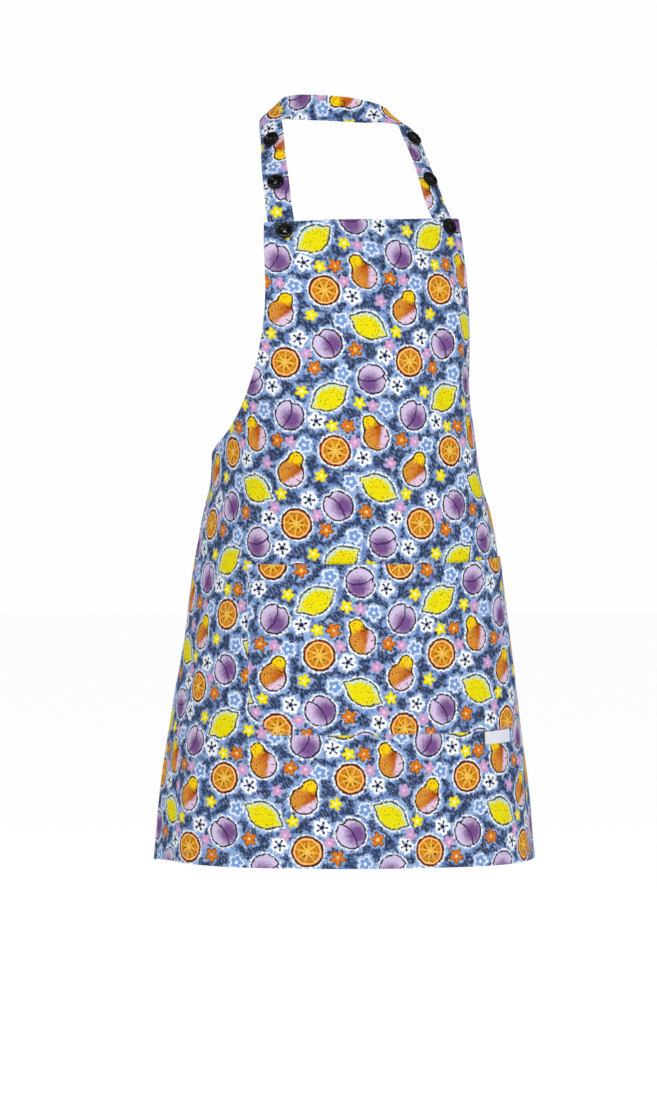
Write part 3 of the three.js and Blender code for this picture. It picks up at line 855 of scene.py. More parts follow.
middles = face_flats(apron_cloth).mean(axis=1)
slit = ((np.abs(np.abs(middles[:, 0]) - STRAP_ACROSS) < BUTTONHOLE_LENGTH / 2)
        & (np.abs(-middles[:, 1] - BUTTONHOLE_DROP) < SLIT_HALF))
bpy.ops.object.mode_set(mode="EDIT")
bpy.ops.mesh.select_mode(type="FACE")
bpy.ops.mesh.select_all(action="DESELECT")
bpy.ops.object.mode_set(mode="OBJECT")
apron_cloth.data.polygons.foreach_set("select", slit)
bpy.ops.object.mode_set(mode="EDIT")
bpy.ops.mesh.delete(type="ONLY_FACE")
bpy.ops.object.mode_set(mode="OBJECT")

panel_flats = point_flats(apron_cloth)
distance = edge_distance(panel_flats[:, 0], -panel_flats[:, 1])
hem_share = panel_wall(distance) / HEM_WALL * edge_share(distance, 0.25, 1.6)
apron_cloth.data.materials.append(cotton_face)
apron_cloth.data.materials.append(cotton_back)
thicken(apron_cloth, HEM_WALL, hem_share)
corner_flats = face_flats(apron_cloth)
middles = corner_flats.mean(axis=1)
finishes = np.empty(len(middles), int)
apron_cloth.data.polygons.foreach_get("material_index", finishes)
turned_in = (finishes == 1) & (edge_distance(middles[:, 0], -middles[:, 1]) < HEM)
corner_flats[turned_in] += HEM_PRINT
finishes[turned_in] = 0
apron_cloth.data.polygons.foreach_set("material_index", finishes)
apron_cloth.data.uv_layers["flat"].data.foreach_set("uv", (corner_flats * MM).ravel())
settle(apron_cloth, "printed_cotton", "apron_panel")
print("slit faces:", int(slit.sum()), "- panel now has", len(apron_cloth.data.polygons), "faces")

# %% [markdown]
# ## The patch pocket
# The pocket is a second, smaller cloth sewn on at its sides and lower edge and down the middle, with
# cut-off lower corners and a hemmed mouth. It could be a bump on the panel, but then its mouth would be
# closed. Here it is its own sheet, which stands off the panel a little between its seams. It is cut
# from another place of the print, which is why its edges show.

# %% The pocket's flat cut and relief
POCKET_HALF = 190
POCKET_TOP = 407
POCKET_BOTTOM = 604
POCKET_CORNER = 28
POCKET_PUFF = 1.2
POCKET_WALL = 1.0
MOUTH_HEM = 21
MOUTH_WALL = 1.5
GAP = 0.4
POCKET_SEAM = 2.6
POCKET_GROOVE = 0.5
POCKET_PUCKER = 0.2
POCKET_WRINKLE = 0.8
POCKET_LINES = (0, 0.6, 1.4, 2.1, 2.6, 3.1, 4, 6, 9)
MOUTH_LINES = (0, 0.7, 1.8, 4, 8, 12, 16, 19, 20.2, 20.7, 21.3, 22, 24)
MIDDLE_LINES = (0, 0.7, 1.4, 2.6)
CORNER_PITCH = 3
POCKET_PRINT = (31, 47)


def pocket_flat(column, row):
    half = POCKET_HALF - np.maximum(0, row - (POCKET_BOTTOM - POCKET_CORNER))
    band = POCKET_LINES[-1]
    inner = column * (half - band) / (POCKET_HALF - band)
    outer = np.sign(column) * (half - (POCKET_HALF - np.abs(column)))
    return np.where(np.abs(column) > POCKET_HALF - band, outer, inner)


def pocket_edge(across, drop):
    side, low = POCKET_HALF - np.abs(across), POCKET_BOTTOM - drop
    return np.minimum(np.minimum(side, low), (side + low - POCKET_CORNER) / math.sqrt(2))


def pocket_puff(across, drop):
    between = np.abs(np.sin(np.pi * across / POCKET_HALF))
    return POCKET_PUFF * between * (1 - ((drop - POCKET_TOP) / (POCKET_BOTTOM - POCKET_TOP)) ** 4)


def pocket_relief(across, drop):
    edge, mouth = pocket_edge(across, drop), drop - POCKET_TOP
    pucker = np.sin((across - drop) * 0.5 + 3 * wrinkles(across, drop, 50, 8))
    groove = bell(edge, POCKET_SEAM, 0.6) + bell(mouth, MOUTH_HEM, 0.7) + bell(across, 0, 0.9)
    rounding = 0.5 * np.exp(-edge / 0.7) + 0.6 * np.exp(-mouth / 0.8)
    return (-rounding - POCKET_GROOVE * groove + POCKET_PUCKER * pucker * bell(edge, 4, 4)
            + POCKET_WRINKLE * wrinkles(across, drop, 48, 9) * soft_step(edge, 0, 25))


def pocket_wall(drop):
    """The pocket's wall, thicker in the hem of its mouth."""
    hemmed = soft_step(drop - POCKET_TOP, MOUTH_HEM + 1, MOUTH_HEM - 1)
    return POCKET_WALL + (MOUTH_WALL - POCKET_WALL) * hemmed


def pocket_face(across, drop):
    """How far the pocket's outer face stands off the draped cloth."""
    return GAP + pocket_puff(across, drop) + pocket_wall(drop) + pocket_relief(across, drop)


def pocket_place(column, row):
    across = pocket_flat(column, row)
    flat = np.stack((across + POCKET_PRINT[0], -row + POCKET_PRINT[1]), axis=1)
    return on_cloth(across, row, pocket_face(across, row)), flat


pocket_columns = both_ways(np.concatenate((
    MIDDLE_LINES, spaced(MIDDLE_LINES[-1], POCKET_HALF - POCKET_LINES[-1], CLOTH_PITCH)[1:],
    POCKET_HALF - np.array(POCKET_LINES[-2::-1]))))
pocket_rows = np.concatenate((
    POCKET_TOP + np.array(MOUTH_LINES),
    spaced(POCKET_TOP + MOUTH_LINES[-1], POCKET_BOTTOM - POCKET_CORNER, CLOTH_PITCH)[1:],
    spaced(POCKET_BOTTOM - POCKET_CORNER, POCKET_BOTTOM - POCKET_LINES[-1], CORNER_PITCH)[1:],
    POCKET_BOTTOM - np.array(POCKET_LINES[-2::-1])))
pocket_cloth = grid_sheet("pocket_cloth", pocket_columns, pocket_rows, pocket_place)
print("pocket grid:", len(pocket_columns), "columns and", len(pocket_rows), "rows")

# %% The pocket's wall
pocket_drops = POCKET_PRINT[1] - point_flats(pocket_cloth)[:, 1]
mouth_share = pocket_wall(pocket_drops) / MOUTH_WALL * edge_share(pocket_drops - POCKET_TOP, 0.4, 1.5)
pocket_cloth.data.materials.append(cotton_face)
pocket_cloth.data.materials.append(cotton_back)
thicken(pocket_cloth, MOUTH_WALL, mouth_share)
settle(pocket_cloth, "printed_cotton", "front_pocket")
print("pocket cloth has", len(pocket_cloth.data.polygons), "faces")

# %% [markdown]
# ## The label
# A short woven tape sits below the pocket's lower seam. It is left blank. One end is caught by a row of
# dark stitches and the tape lies flat on the panel with a slight wave. A plain box would look stiff,
# so it is a small sheet too. Its weave is a fine rib, with a line of painted shade along its folded end.

# %% Label tape
LABEL_START = 100
LABEL_END = 148
LABEL_BELOW = 1.6                        # its upper edge, below the pocket's
LABEL_HEIGHT = 14.5
LABEL_WALL = 0.8
LABEL_WAVE = 0.5
LABEL_PITCH = 1.5


def label_place(column, row):
    drop = POCKET_BOTTOM + LABEL_BELOW + row
    lift = LABEL_WAVE * np.sin(column * 0.16) * soft_step(row, 2, LABEL_HEIGHT) ** 2
    flat = np.stack((column, -row), axis=1)
    return on_cloth(column, drop, GAP + LABEL_WALL + np.maximum(lift, -0.2)), flat


def label_tape():
    paint = Paint("label_tape")
    flat = paint.flat_place()
    x, y = paint.parts(flat)
    rib = (x * 9.0).math("SINE") * 0.5 + (y * 14.0).math("SINE") * 0.5
    fuzz = paint.noise(flat, 1.6, 3.0)
    colour = paint.blend(fuzz.step(0.25, 0.75), rgb(204, 208, 216), rgb(228, 231, 238))
    # painted shade: a dark line along the folded end, where the tape tucks under
    fold_shade = (x - LABEL_START).step(2.4, 1.8)
    colour = paint.blend(fold_shade * 0.95, colour, rgb(24, 24, 32))
    bump = paint.node("ShaderNodeBump", {}, {"Height": rib + fuzz, "Strength": 0.4, "Distance": 0.0001})
    paint.finish({"Base Color": colour, "Roughness": fuzz * 0.2 + 0.6, "Normal": bump})
    paint.finish({"Sheen Weight": 0.2, "Specular IOR Level": 0.3})
    return paint.material


label_columns = spaced(LABEL_START, LABEL_END, LABEL_PITCH)
label_rows = spaced(0, LABEL_HEIGHT, LABEL_PITCH)
label_cloth = grid_sheet("label_cloth", label_columns, label_rows, label_place)
label_cloth.data.materials.append(label_tape())
thicken(label_cloth, LABEL_WALL)
settle(label_cloth, "label_tape", "pocket_label")
print("label of", LABEL_END - LABEL_START, "by", LABEL_HEIGHT, "mm")

# %% [markdown]
# ## The neck strap
# The strap is a folded band of the same cotton, stitched along both edges. It comes up from behind the
# bib's corners, runs up and back on both sides, and closes the loop at the nape. A bevelled curve
# could make such a band, but leaves open which way its face turns. So one curve through the route's
# points gives its middle line, and a second through the directions gives the way its face looks. The
# band then turns smoothly from facing forwards to facing backwards.

# %% The strap's line
STRAP_WIDTH = 30.5
STRAP_WALL = 2.0
STRAP_BED = 1.2
STRAP_TAIL = 36
SIDES = {"right": -1, "left": 1}
STRAP_SLANT = {"right": -0.14, "left": 0.34}
STRAP_ROUTE = {                          # x, y, z, then the way the outer face looks
    "left": (
        (96.5, -120, -122, 0.24, -0.83, 0.5),
        (95, -104, -95, 0.31, -0.79, 0.53),
        (94.5, -85, -69, 0.39, -0.72, 0.57),
        (94, -64, -44, 0.36, -0.69, 0.63),
        (91.5, -42, -20.5, 0.44, -0.46, 0.78),
        (77, -22, -7.5, 0.56, 0.25, 0.79),
        (53, -8, -3, 0.47, 0.71, 0.53),
        (27, -1, -0.5, 0.18, 0.94, 0.3),
    ),
    "right": (
        (-107, -120, -130, -0.5, -0.73, 0.47),
        (-103, -104, -101, -0.54, -0.68, 0.5),
        (-98, -85, -73, -0.64, -0.54, 0.55),
        (-90, -64, -46, -0.72, -0.42, 0.56),
        (-83, -42, -21.5, -0.73, -0.28, 0.62),
        (-73, -22, -8, -0.6, 0.22, 0.77),
        (-53, -8, -3, -0.47, 0.71, 0.53),
        (-27, -1, -0.5, -0.18, 0.94, 0.3),
    ),
}
NAPE = (0, 1, 0, 0, 1, 0.2)
TAIL_DROPS = np.array((STRAP_TAIL, BUTTONHOLE_DROP, 0), float)
STRAP_STEPS = 4000


def smooth_curve(points, shares):
    """Points on a centripetal Catmull-Rom curve, and the slope there."""
    ends = np.vstack((2 * points[0] - points[1], points, 2 * points[-1] - points[-2]))
    place = np.clip(np.asarray(shares, float), 0, 1) * (len(points) - 1)
    low = np.minimum(place.astype(int), len(points) - 2)
    p = (place - low)[:, None]
    a, b, c, d = (ends[low + i] for i in range(4))
    gap_ab, gap_bc, gap_cd = (np.linalg.norm(n - m, axis=1, keepdims=True) ** 0.5
                              for m, n in ((a, b), (b, c), (c, d)))
    start = ((b - a) / gap_ab - (c - a) / (gap_ab + gap_bc) + (c - b) / gap_bc) * gap_bc
    end = ((c - b) / gap_bc - (d - b) / (gap_bc + gap_cd) + (d - c) / gap_cd) * gap_bc
    square, cube = 3 * (c - b) - 2 * start - end, 2 * (b - c) + start + end
    return b + start * p + square * p**2 + cube * p**3, start + 2 * square * p + 3 * cube * p**2


def strap_side(side_name):
    """Points of the middle line and looks, from the tail's end behind the bib up to the nape."""
    across = SIDES[side_name] * (STRAP_ACROSS + STRAP_SLANT[side_name] * (TAIL_DROPS - BUTTONHOLE_DROP))
    behind = np.full(len(TAIL_DROPS), -HEM_WALL - STRAP_BED - STRAP_WALL / 2)
    tail = np.hstack((on_cloth(across, TAIL_DROPS, behind), outward(across, TAIL_DROPS)))
    return np.vstack((tail, STRAP_ROUTE[side_name]))


strap_points = np.vstack((strap_side("left"), NAPE, strap_side("right")[::-1]))
strap_points[:, 3:] = unit(strap_points[:, 3:])


def strap_frame(shares):
    """Spots on the strap's middle line, with the ways along it, out of its face and across it."""
    spot, along = smooth_curve(strap_points[:, :3], shares)
    look, _ = smooth_curve(strap_points[:, 3:], shares)
    along = unit(along)
    look = unit(look - along * (look * along).sum(axis=1, keepdims=True))
    return spot, along, look, np.cross(look, along)


fine = np.linspace(0, 1, STRAP_STEPS + 1)
fine_spots = strap_frame(fine)[0]
strap_run = np.concatenate(((0,), np.cumsum(np.linalg.norm(np.diff(fine_spots, axis=0), axis=1))))
print("strap length", round(strap_run[-1]), "mm")

# %% [markdown]
# The band is a long grid laid along that line, with columns close together at its two seams. It is a
# little lower towards its edges, as a folded band is, with soft grooves where the seams pull it in.

# %% The strap's cloth
STRAP_SEAM = 2.5
STRAP_LINES = (0, 0.5, 1.3, 2.0, 2.5, 3.0, 4, 6.5, 10, 13, STRAP_WIDTH / 2)
STRAP_PITCH = 3
STRAP_ROUNDING = 0.6
STRAP_GROOVE = 0.4
STRAP_WRINKLE = 0.25
STRAP_CROWN = 0.7
STRAP_PRINT = (40, 12)


def strap_place(column, row):
    spot, _, look, cross = strap_frame(np.interp(row, strap_run, fine))
    edge = STRAP_WIDTH / 2 - np.abs(column)
    lower = STRAP_CROWN * (column / STRAP_WIDTH * 2) ** 2
    relief = (-STRAP_ROUNDING * np.exp(-edge / 0.6) - STRAP_GROOVE * bell(edge, STRAP_SEAM, 0.5)
              + STRAP_WRINKLE * wrinkles(column, row, 22, 11) - lower)
    points = spot + cross * column[:, None] + look * (STRAP_WALL / 2 + relief)[:, None]
    return points, np.stack((-column + STRAP_PRINT[0], row + STRAP_PRINT[1]), axis=1)


strap_columns = both_ways(STRAP_WIDTH / 2 - np.array(STRAP_LINES[::-1]))
strap_rows = spaced(0, strap_run[-1], STRAP_PITCH)
strap_cloth = grid_sheet("strap_cloth", strap_columns, strap_rows, strap_place)
strap_cloth.data.materials.append(cotton_face)
edge = STRAP_WIDTH / 2 - np.abs(STRAP_PRINT[0] - point_flats(strap_cloth)[:, 0])
thicken(strap_cloth, STRAP_WALL, edge_share(edge, 0.35, 1.3))
settle(strap_cloth, "printed_cotton", "neck_strap")
print("strap cloth has", len(strap_cloth.data.polygons), "faces")

# %% [markdown]
# ## Buttons
# Six black buttons sit on the strap's ends: polished plastic with a thick round rim, a dished middle
# and four holes, sewn on with a cross of thread. One button is modelled at the origin, and copied. Its
# profile could be spun, but a disc whose face is extruded and resized ring by ring has no seam to
# close. A Boolean cuts the holes.

# %% One button
BUTTON_PROFILE = (                       # radius and height of each ring in mm, from the back to the dish
    (7.6, 0), (9.2, 0.35), (9.85, 1.1), (10, 2.0), (9.9, 2.9), (9.5, 3.7), (8.9, 4.2), (8.2, 4.4),
    (7.4, 4.25), (6.7, 3.8), (6.0, 3.1), (5.2, 2.65), (4.2, 2.45), (2.0, 2.35), (0.3, 2.3),
)
BUTTON_SIDES = 48
HOLE_RING = 2.7
HOLE_RADIUS = 0.9
HOLES = 4
DRILL_SIDES = 16
DRILL_LENGTH = 12
BUTTON_SMOOTH_ANGLE = math.radians(40)


def hole_places():
    turns = [2 * math.pi * (i + 0.5) / HOLES for i in range(HOLES)]
    return [(HOLE_RING * math.cos(turn), HOLE_RING * math.sin(turn)) for turn in turns]


bpy.ops.object.select_all(action="DESELECT")
bpy.ops.mesh.primitive_circle_add(vertices=BUTTON_SIDES, radius=BUTTON_PROFILE[0][0], fill_type="NGON")
button_model = bpy.context.object
bpy.ops.object.mode_set(mode="EDIT")
bpy.ops.mesh.select_all(action="SELECT")
for (radius, height), (next_radius, next_height) in zip(BUTTON_PROFILE, BUTTON_PROFILE[1:]):
    bpy.ops.mesh.extrude_region_move(TRANSFORM_OT_translate={"value": (0, 0, next_height - height)})
    bpy.ops.transform.resize(value=(next_radius / radius, next_radius / radius, 1))
bpy.ops.mesh.select_all(action="SELECT")
bpy.ops.mesh.normals_make_consistent(inside=False)
bpy.ops.object.mode_set(mode="OBJECT")
drills = []
for x, y in hole_places():
    bpy.ops.mesh.primitive_cylinder_add(
        vertices=DRILL_SIDES, radius=HOLE_RADIUS, depth=DRILL_LENGTH, location=(x, y, 0))
    drills.append(bpy.context.object)
for drill in drills:
    cut = button_model.modifiers.new("hole", "BOOLEAN")
    cut.object = drill
    bpy.context.view_layer.objects.active = button_model
    bpy.ops.object.modifier_apply(modifier=cut.name)
    bpy.data.objects.remove(drill)
button_model.select_set(True)
bpy.ops.object.shade_smooth_by_angle(angle=BUTTON_SMOOTH_ANGLE)
print("button model has", len(button_model.data.polygons), "faces")

# %% [markdown]
# The plastic is nearly black and polished. A faint cloud in its colour and gloss keeps it from looking
# like a flat disc.

# %% Glossy black plastic
def button_plastic():
    paint = Paint("button_black")
    place = paint.node("ShaderNodeTexCoord", {}, {}, 3)
    cloud = paint.node("ShaderNodeTexNoise", {}, {"Vector": place, "Scale": 260.0, "Detail": 3.0})
    colour = paint.blend(cloud.step(0.3, 0.7), rgb(3, 3, 5), rgb(10, 10, 14))
    paint.finish({"Base Color": colour, "Roughness": cloud * 0.04 + 0.05})
    paint.finish({"Specular IOR Level": 0.14})
    return paint.material


button_black = button_plastic()
print("button finish ready")

# %% [markdown]
# ## One stitch
# A stitch is a short thread that dives into the cloth at both ends. A bump in the cloth's finish would
# show it from the front only, so it is modelled: a six-sided cylinder with rounded ends, arched in
# the middle. There are many hundreds of them, so it has only a few dozen faces. A row of copies is
# joined into one piece for each seam.

# %% Stitch model and rows of copies
STITCH_LENGTH = 2.5
STITCH_PITCH = 3.3
STITCH_RADIUS = 0.28
STITCH_ROUNDING = 0.55                   # these three are in radii of the thread
STITCH_ARCH = 0.9
STITCH_LIFT = 0.3

bpy.ops.object.select_all(action="DESELECT")
bpy.ops.mesh.primitive_cylinder_add(vertices=6, radius=1, depth=2, rotation=(0, math.radians(90), 0))
stitch_model = bpy.context.object
bpy.ops.object.transform_apply(rotation=True)
bpy.ops.object.mode_set(mode="EDIT")
bpy.ops.mesh.select_mode(type="EDGE")
bpy.ops.mesh.select_all(action="DESELECT")
bpy.ops.object.mode_set(mode="OBJECT")
for rim in stitch_model.data.edges:
    a, b = (stitch_model.data.vertices[i].co.x for i in rim.vertices)
    rim.select = a * b > 0
bpy.ops.object.mode_set(mode="EDIT")
bpy.ops.mesh.bevel(offset=STITCH_ROUNDING, segments=2, affect="EDGES")
bpy.ops.object.mode_set(mode="OBJECT")
stitch_points = np.array([point.co for point in stitch_model.data.vertices])
stitch_points[:, 2] -= STITCH_ARCH * stitch_points[:, 0] ** 2 - STITCH_LIFT
stitch_faces = [list(face.vertices) for face in stitch_model.data.polygons]
bpy.data.objects.remove(stitch_model)


def stitch_rows(name, starts, ends, looks, radius, paint):
    """One piece of stitches between pairs of points in mm, with the way each looks."""
    along = (ends - starts) / 2
    side = unit(np.cross(looks, along))
    up = unit(np.cross(along, side))
    middle = (starts + ends) / 2
    x, y, z = (stitch_points[:, i][None, :, None] for i in range(3))
    points = middle[:, None] + x * along[:, None] + radius * (y * side[:, None] + z * up[:, None])
    count = len(stitch_points)
    faces = [[corner + i * count for corner in face] for i in range(len(starts)) for face in stitch_faces]
    mesh = bpy.data.meshes.new(name)
    mesh.from_pydata((points.reshape(-1, 3) * MM).tolist(), [], faces)
    mesh.polygons.foreach_set("use_smooth", [True] * len(mesh.polygons))
    mesh.materials.append(paint)
    piece = bpy.data.objects.new(name, mesh)
    bpy.context.scene.collection.objects.link(piece)
    return piece


def stitch_count(piece):
    return len(piece.data.polygons) // len(stitch_faces)


print("one stitch has", len(stitch_faces), "faces")

# %% [markdown]
# The sewing thread is a dull blue cotton close to the print's ground, and the buttons' thread is black.
# Thread is two plies twisted together, so the finish has fine slanting bands.

# %% Thread finishes
def thread_finish(name, dark, light):
    paint = Paint(name)
    place = paint.node("ShaderNodeTexCoord", {}, {}, 3)
    ply = paint.node("ShaderNodeTexWave", {"bands_direction": "DIAGONAL"},
                     {"Vector": place, "Scale": 900.0, "Distortion": 1.0})
    paint.finish({"Base Color": paint.blend(ply, dark, light), "Roughness": ply * 0.2 + 0.65})
    paint.finish({"Sheen Weight": 0.2})
    return paint.material


seam_thread = thread_finish("seam_thread", rgb(84, 104, 150), rgb(142, 164, 208))
button_thread = thread_finish("button_thread", rgb(8, 8, 11), rgb(32, 32, 38))
print("thread finishes ready")

# %% [markdown]
# The lowest button of each side stands on the bib's face over its buttonhole, the other two on the
# strap. Each is a copy of the model, turned to look out of the cloth below it, and is sewn on with a
# cross of doubled thread and two strands down each hole.

# %% Buttons in their places
BUTTON_PITCH = 66
BUTTON_COUNT = 3
SHANK = 0.7
CROSS_HEIGHT = 2.75                      # all heights are above the button's back
CROSS_SPREAD = 0.28
STRAND_TOP = 2.6
STRANDS = ((0.3, 1.0), (0.5, 1.1))       # foot and top of each, as shares of its hole's x
STRAND_FOOT = 0.3                        # and the foot's share of y
BUTTON_THREAD_RADIUS = 0.42


def turned_frame(spot, look, right):
    """A matrix that stands a model on a spot, its top towards look."""
    look = Vector(look).normalized()
    up = look.cross(Vector(right)).normalized()
    level = up.cross(look)
    basis = Matrix((level, up, look)).transposed().to_4x4()
    return Matrix.Translation(Vector(spot)) @ basis


def button_frames(side):
    """Frames for one side's buttons, and the length of thread under each."""
    across = np.array([side * STRAP_ACROSS], float)
    drop = np.array([BUTTONHOLE_DROP], float)
    right = draped(across + NORMAL_STEP, drop) - draped(across - NORMAL_STEP, drop)
    frames = [(turned_frame(on_cloth(across, drop, GAP)[0], outward(across, drop)[0], right[0]),
               HEM_WALL + STRAP_BED + GAP)]
    for i in range(1, BUTTON_COUNT):
        run = STRAP_TAIL - BUTTONHOLE_DROP + i * BUTTON_PITCH
        run = run if side > 0 else strap_run[-1] - run
        spot, _, look, cross = (row[0] for row in strap_frame(np.interp([run], strap_run, fine)))
        spot = spot + look * (STRAP_WALL / 2 + GAP + SHANK)
        frames.append((turned_frame(spot, look, cross * np.sign(cross[0])), SHANK + GAP))
    return frames


def place_button(name, place):
    piece = button_model.copy()
    piece.data = button_model.data.copy()
    piece.name = piece.data.name = name
    bpy.context.scene.collection.objects.link(piece)
    piece.data.transform(Matrix.Scale(MM, 4) @ place)
    piece.data.materials.clear()
    piece.data.materials.append(button_black)
    return piece


def button_sewing(name, place, depth):
    """The thread cross on a button's face and the strands under it."""
    holes = [Vector((x, y, CROSS_HEIGHT)) for x, y in hole_places()]
    strands = []
    for first, last in ((holes[0], holes[2]), (holes[1], holes[3])):
        shift = (last - first).cross(Vector((0, 0, 1))).normalized() * CROSS_SPREAD
        strands += [(first + shift, last + shift), (first - shift, last - shift)]
    crossing = len(strands)
    for x, y in hole_places():
        for foot, top in STRANDS:
            low = Vector((x * foot, y * STRAND_FOOT, -depth))
            strands.append((low, Vector((x * top, y, STRAND_TOP))))
    starts = np.array([place @ start for start, _ in strands])
    ends = np.array([place @ end for _, end in strands])
    face = place.to_3x3() @ Vector((0, 0, 1))
    rim = place.to_3x3() @ Vector((1, 0, 0))
    looks = np.array([face] * crossing + [rim] * (len(strands) - crossing))
    return stitch_rows(name, starts, ends, looks, BUTTON_THREAD_RADIUS, button_thread)


for side_name, side in SIDES.items():
    for i, (place, depth) in enumerate(button_frames(side), 1):
        node = f"button_{side_name}_{i}"
        piece = place_button(node.replace("button", "black_button"), place)
        settle(piece, "button_black", node)
        sewing = button_sewing(node.replace("button", "button_thread"), place, depth)
        settle(sewing, "button_black")
bpy.data.objects.remove(button_model)
print(len(SIDES) * BUTTON_COUNT, "buttons placed")

# %% [markdown]
# ## Seams
# Rows of stitches hold the hems, the pocket and the strap. Each seam is a line on the flat cloth that
# is walked at the stitch pitch, and both ends of every stitch are then laid on the draped cloth.

# %% Lines on the flat cloth
def walk(line, pitch, length):
    """Starts and ends of stitches along a flat line of points."""
    line = np.asarray(line, float)
    run = np.concatenate(((0,), np.cumsum(np.linalg.norm(np.diff(line, axis=0), axis=1))))
    starts = np.arange(pitch / 2, run[-1] - length, pitch)

    def spots(runs):
        return np.stack([np.interp(runs, run, line[:, i]) for i in (0, 1)], axis=1)

    return spots(starts), spots(starts + length)


def stacked(rows):
    """Rows of matching arrays, joined array by array."""
    return [np.vstack(part) for part in zip(*rows)]


def seams_on_cloth(name, lines, height, facing=1):
    """Stitches along flat lines; height gives the face's relief, facing is -1 on the inside."""
    starts, ends = stacked([walk(line, STITCH_PITCH, STITCH_LENGTH) for line in lines])
    laid = [on_cloth(part[:, 0], part[:, 1], height(part[:, 0], part[:, 1])) for part in (starts, ends)]
    looks = outward(starts[:, 0], starts[:, 1]) * facing
    return stitch_rows(name, *laid, looks, STITCH_RADIUS, seam_thread)


def inset_armhole(side):
    """The armhole's curve, moved in by the hem seam, as far as the side hem's seam."""
    way = np.gradient(armhole_line, axis=0)
    inward = unit(np.stack((-way[:, 1], way[:, 0]), axis=1))
    line = armhole_line + inward * HEM_SEAM
    keep = (line[:, 1] > HEM_SEAM) & (line[:, 0] < HALF_WIDTH - HEM_SEAM)
    return line[keep] * (side, 1)


seam_side, seam_low = HALF_WIDTH - HEM_SEAM, LENGTH - HEM_SEAM
top_end = inset_armhole(1)[0]
waist_end = inset_armhole(1)[-1]
panel_seams = [
    ((-top_end[0], HEM_SEAM), (top_end[0], HEM_SEAM)),
    inset_armhole(1), inset_armhole(-1),
    ((seam_side, waist_end[1]), (seam_side, seam_low)),
    ((-seam_side, waist_end[1]), (-seam_side, seam_low)),
    ((-seam_side, seam_low), (seam_side, seam_low)),
]
panel_stitches = seams_on_cloth("panel_stitches", panel_seams, panel_relief)
settle(panel_stitches, "printed_cotton")
print("panel seams:", stitch_count(panel_stitches), "stitches")

# %% Pocket seams
SEAM_START = 2                           # bare cloth before a seam's first stitch
SEAM_STOP = 4                            # and after its last one

near, low = POCKET_HALF - POCKET_SEAM, POCKET_BOTTOM - POCKET_SEAM
turn = POCKET_CORNER - POCKET_SEAM * (2 - math.sqrt(2))
pocket_seams = [
    ((-near, POCKET_TOP + SEAM_START), (-near, low - turn), (-near + turn, low), (near - turn, low),
     (near, low - turn), (near, POCKET_TOP + SEAM_START)),
    ((-POCKET_HALF + SEAM_STOP, POCKET_TOP + MOUTH_HEM),
     (POCKET_HALF - SEAM_STOP, POCKET_TOP + MOUTH_HEM)),
    ((0, POCKET_TOP + SEAM_START), (0, POCKET_BOTTOM - SEAM_STOP)),
]
pocket_stitches = seams_on_cloth("pocket_stitches", pocket_seams, pocket_face)
settle(pocket_stitches, "printed_cotton")
print("pocket seams:", stitch_count(pocket_stitches), "stitches")

# %% [markdown]
# The thread goes right through the panel, so the same lines show on the inside, apart from the hem of
# the pocket's mouth.

# %% Seams on the inside
def panel_inside(across, drop):
    return panel_relief(across, drop) - panel_wall(edge_distance(across, drop))


inside_seams = panel_seams + [pocket_seams[0], pocket_seams[2]]
inside_stitches = seams_on_cloth("inside_stitches", inside_seams, panel_inside, facing=-1)
settle(inside_stitches, "printed_cotton")
print("inside seams:", stitch_count(inside_stitches), "stitches")

# %% [markdown]
# Two small places are sewn by themselves. A few dark stitches hold the label's folded end, and short
# threads side by side cover both edges of each buttonhole, so that the slit doesn't fray.

# %% Label and buttonhole stitches
LABEL_SEAM = 1.1
LABEL_MARGIN = 0.4
HOLE_STITCH = 1.5
HOLE_STITCH_PITCH = 0.6818
HOLE_STITCH_RADIUS = 0.25
HOLE_EDGE = 0.3


def cloth_threads(name, starts, ends, heights, radius, paint):
    """Single threads between flat places, at these heights above the panel's face."""
    laid = [on_cloth(part[:, 0], part[:, 1], heights) for part in (starts, ends)]
    return stitch_rows(name, *laid, outward(starts[:, 0], starts[:, 1]), radius, paint)


label_across = LABEL_START + LABEL_SEAM
label_top = POCKET_BOTTOM + LABEL_BELOW
label_line = ((label_across, label_top + LABEL_MARGIN),
              (label_across, label_top + LABEL_HEIGHT - LABEL_MARGIN))
starts, ends = walk(label_line, STITCH_PITCH, STITCH_LENGTH)
label_stitches = cloth_threads(
    "label_stitches", starts, ends, GAP + LABEL_WALL, STITCH_RADIUS, button_thread)
settle(label_stitches, "label_tape")

hole_reach = BUTTONHOLE_LENGTH / 2 + HOLE_STITCH
stitch_offsets = np.arange(-hole_reach, hole_reach, HOLE_STITCH_PITCH)
rows = []
for side in SIDES.values():
    for edge in (-1, 1):
        across = side * STRAP_ACROSS + stitch_offsets
        drops = np.full(len(across), BUTTONHOLE_DROP + edge * HOLE_EDGE)
        rows.append((np.stack((across, drops), axis=1),
                     np.stack((across, drops + edge * HOLE_STITCH), axis=1)))
starts, ends = stacked(rows)
hole_stitches = cloth_threads("buttonhole_stitches", starts, ends, panel_relief(ends[:, 0], ends[:, 1]),
                              HOLE_STITCH_RADIUS, seam_thread)
settle(hole_stitches, "printed_cotton")
for seam in (label_stitches, hole_stitches):
    print(seam.name, "has", stitch_count(seam), "stitches")

# %% [markdown]
# The strap isn't part of the panel's cut, so its two seams follow its own middle line, each at the same
# distance from an edge.

# %% Strap seams
STRAP_SEAM_START = 3


def strap_seam(offset):
    runs = np.arange(STRAP_SEAM_START, strap_run[-1] - SEAM_STOP, STITCH_PITCH)
    laid = [strap_place(np.full(len(run), offset), run)[0] for run in (runs, runs + STITCH_LENGTH)]
    return (*laid, strap_frame(np.interp(runs, strap_run, fine))[2])


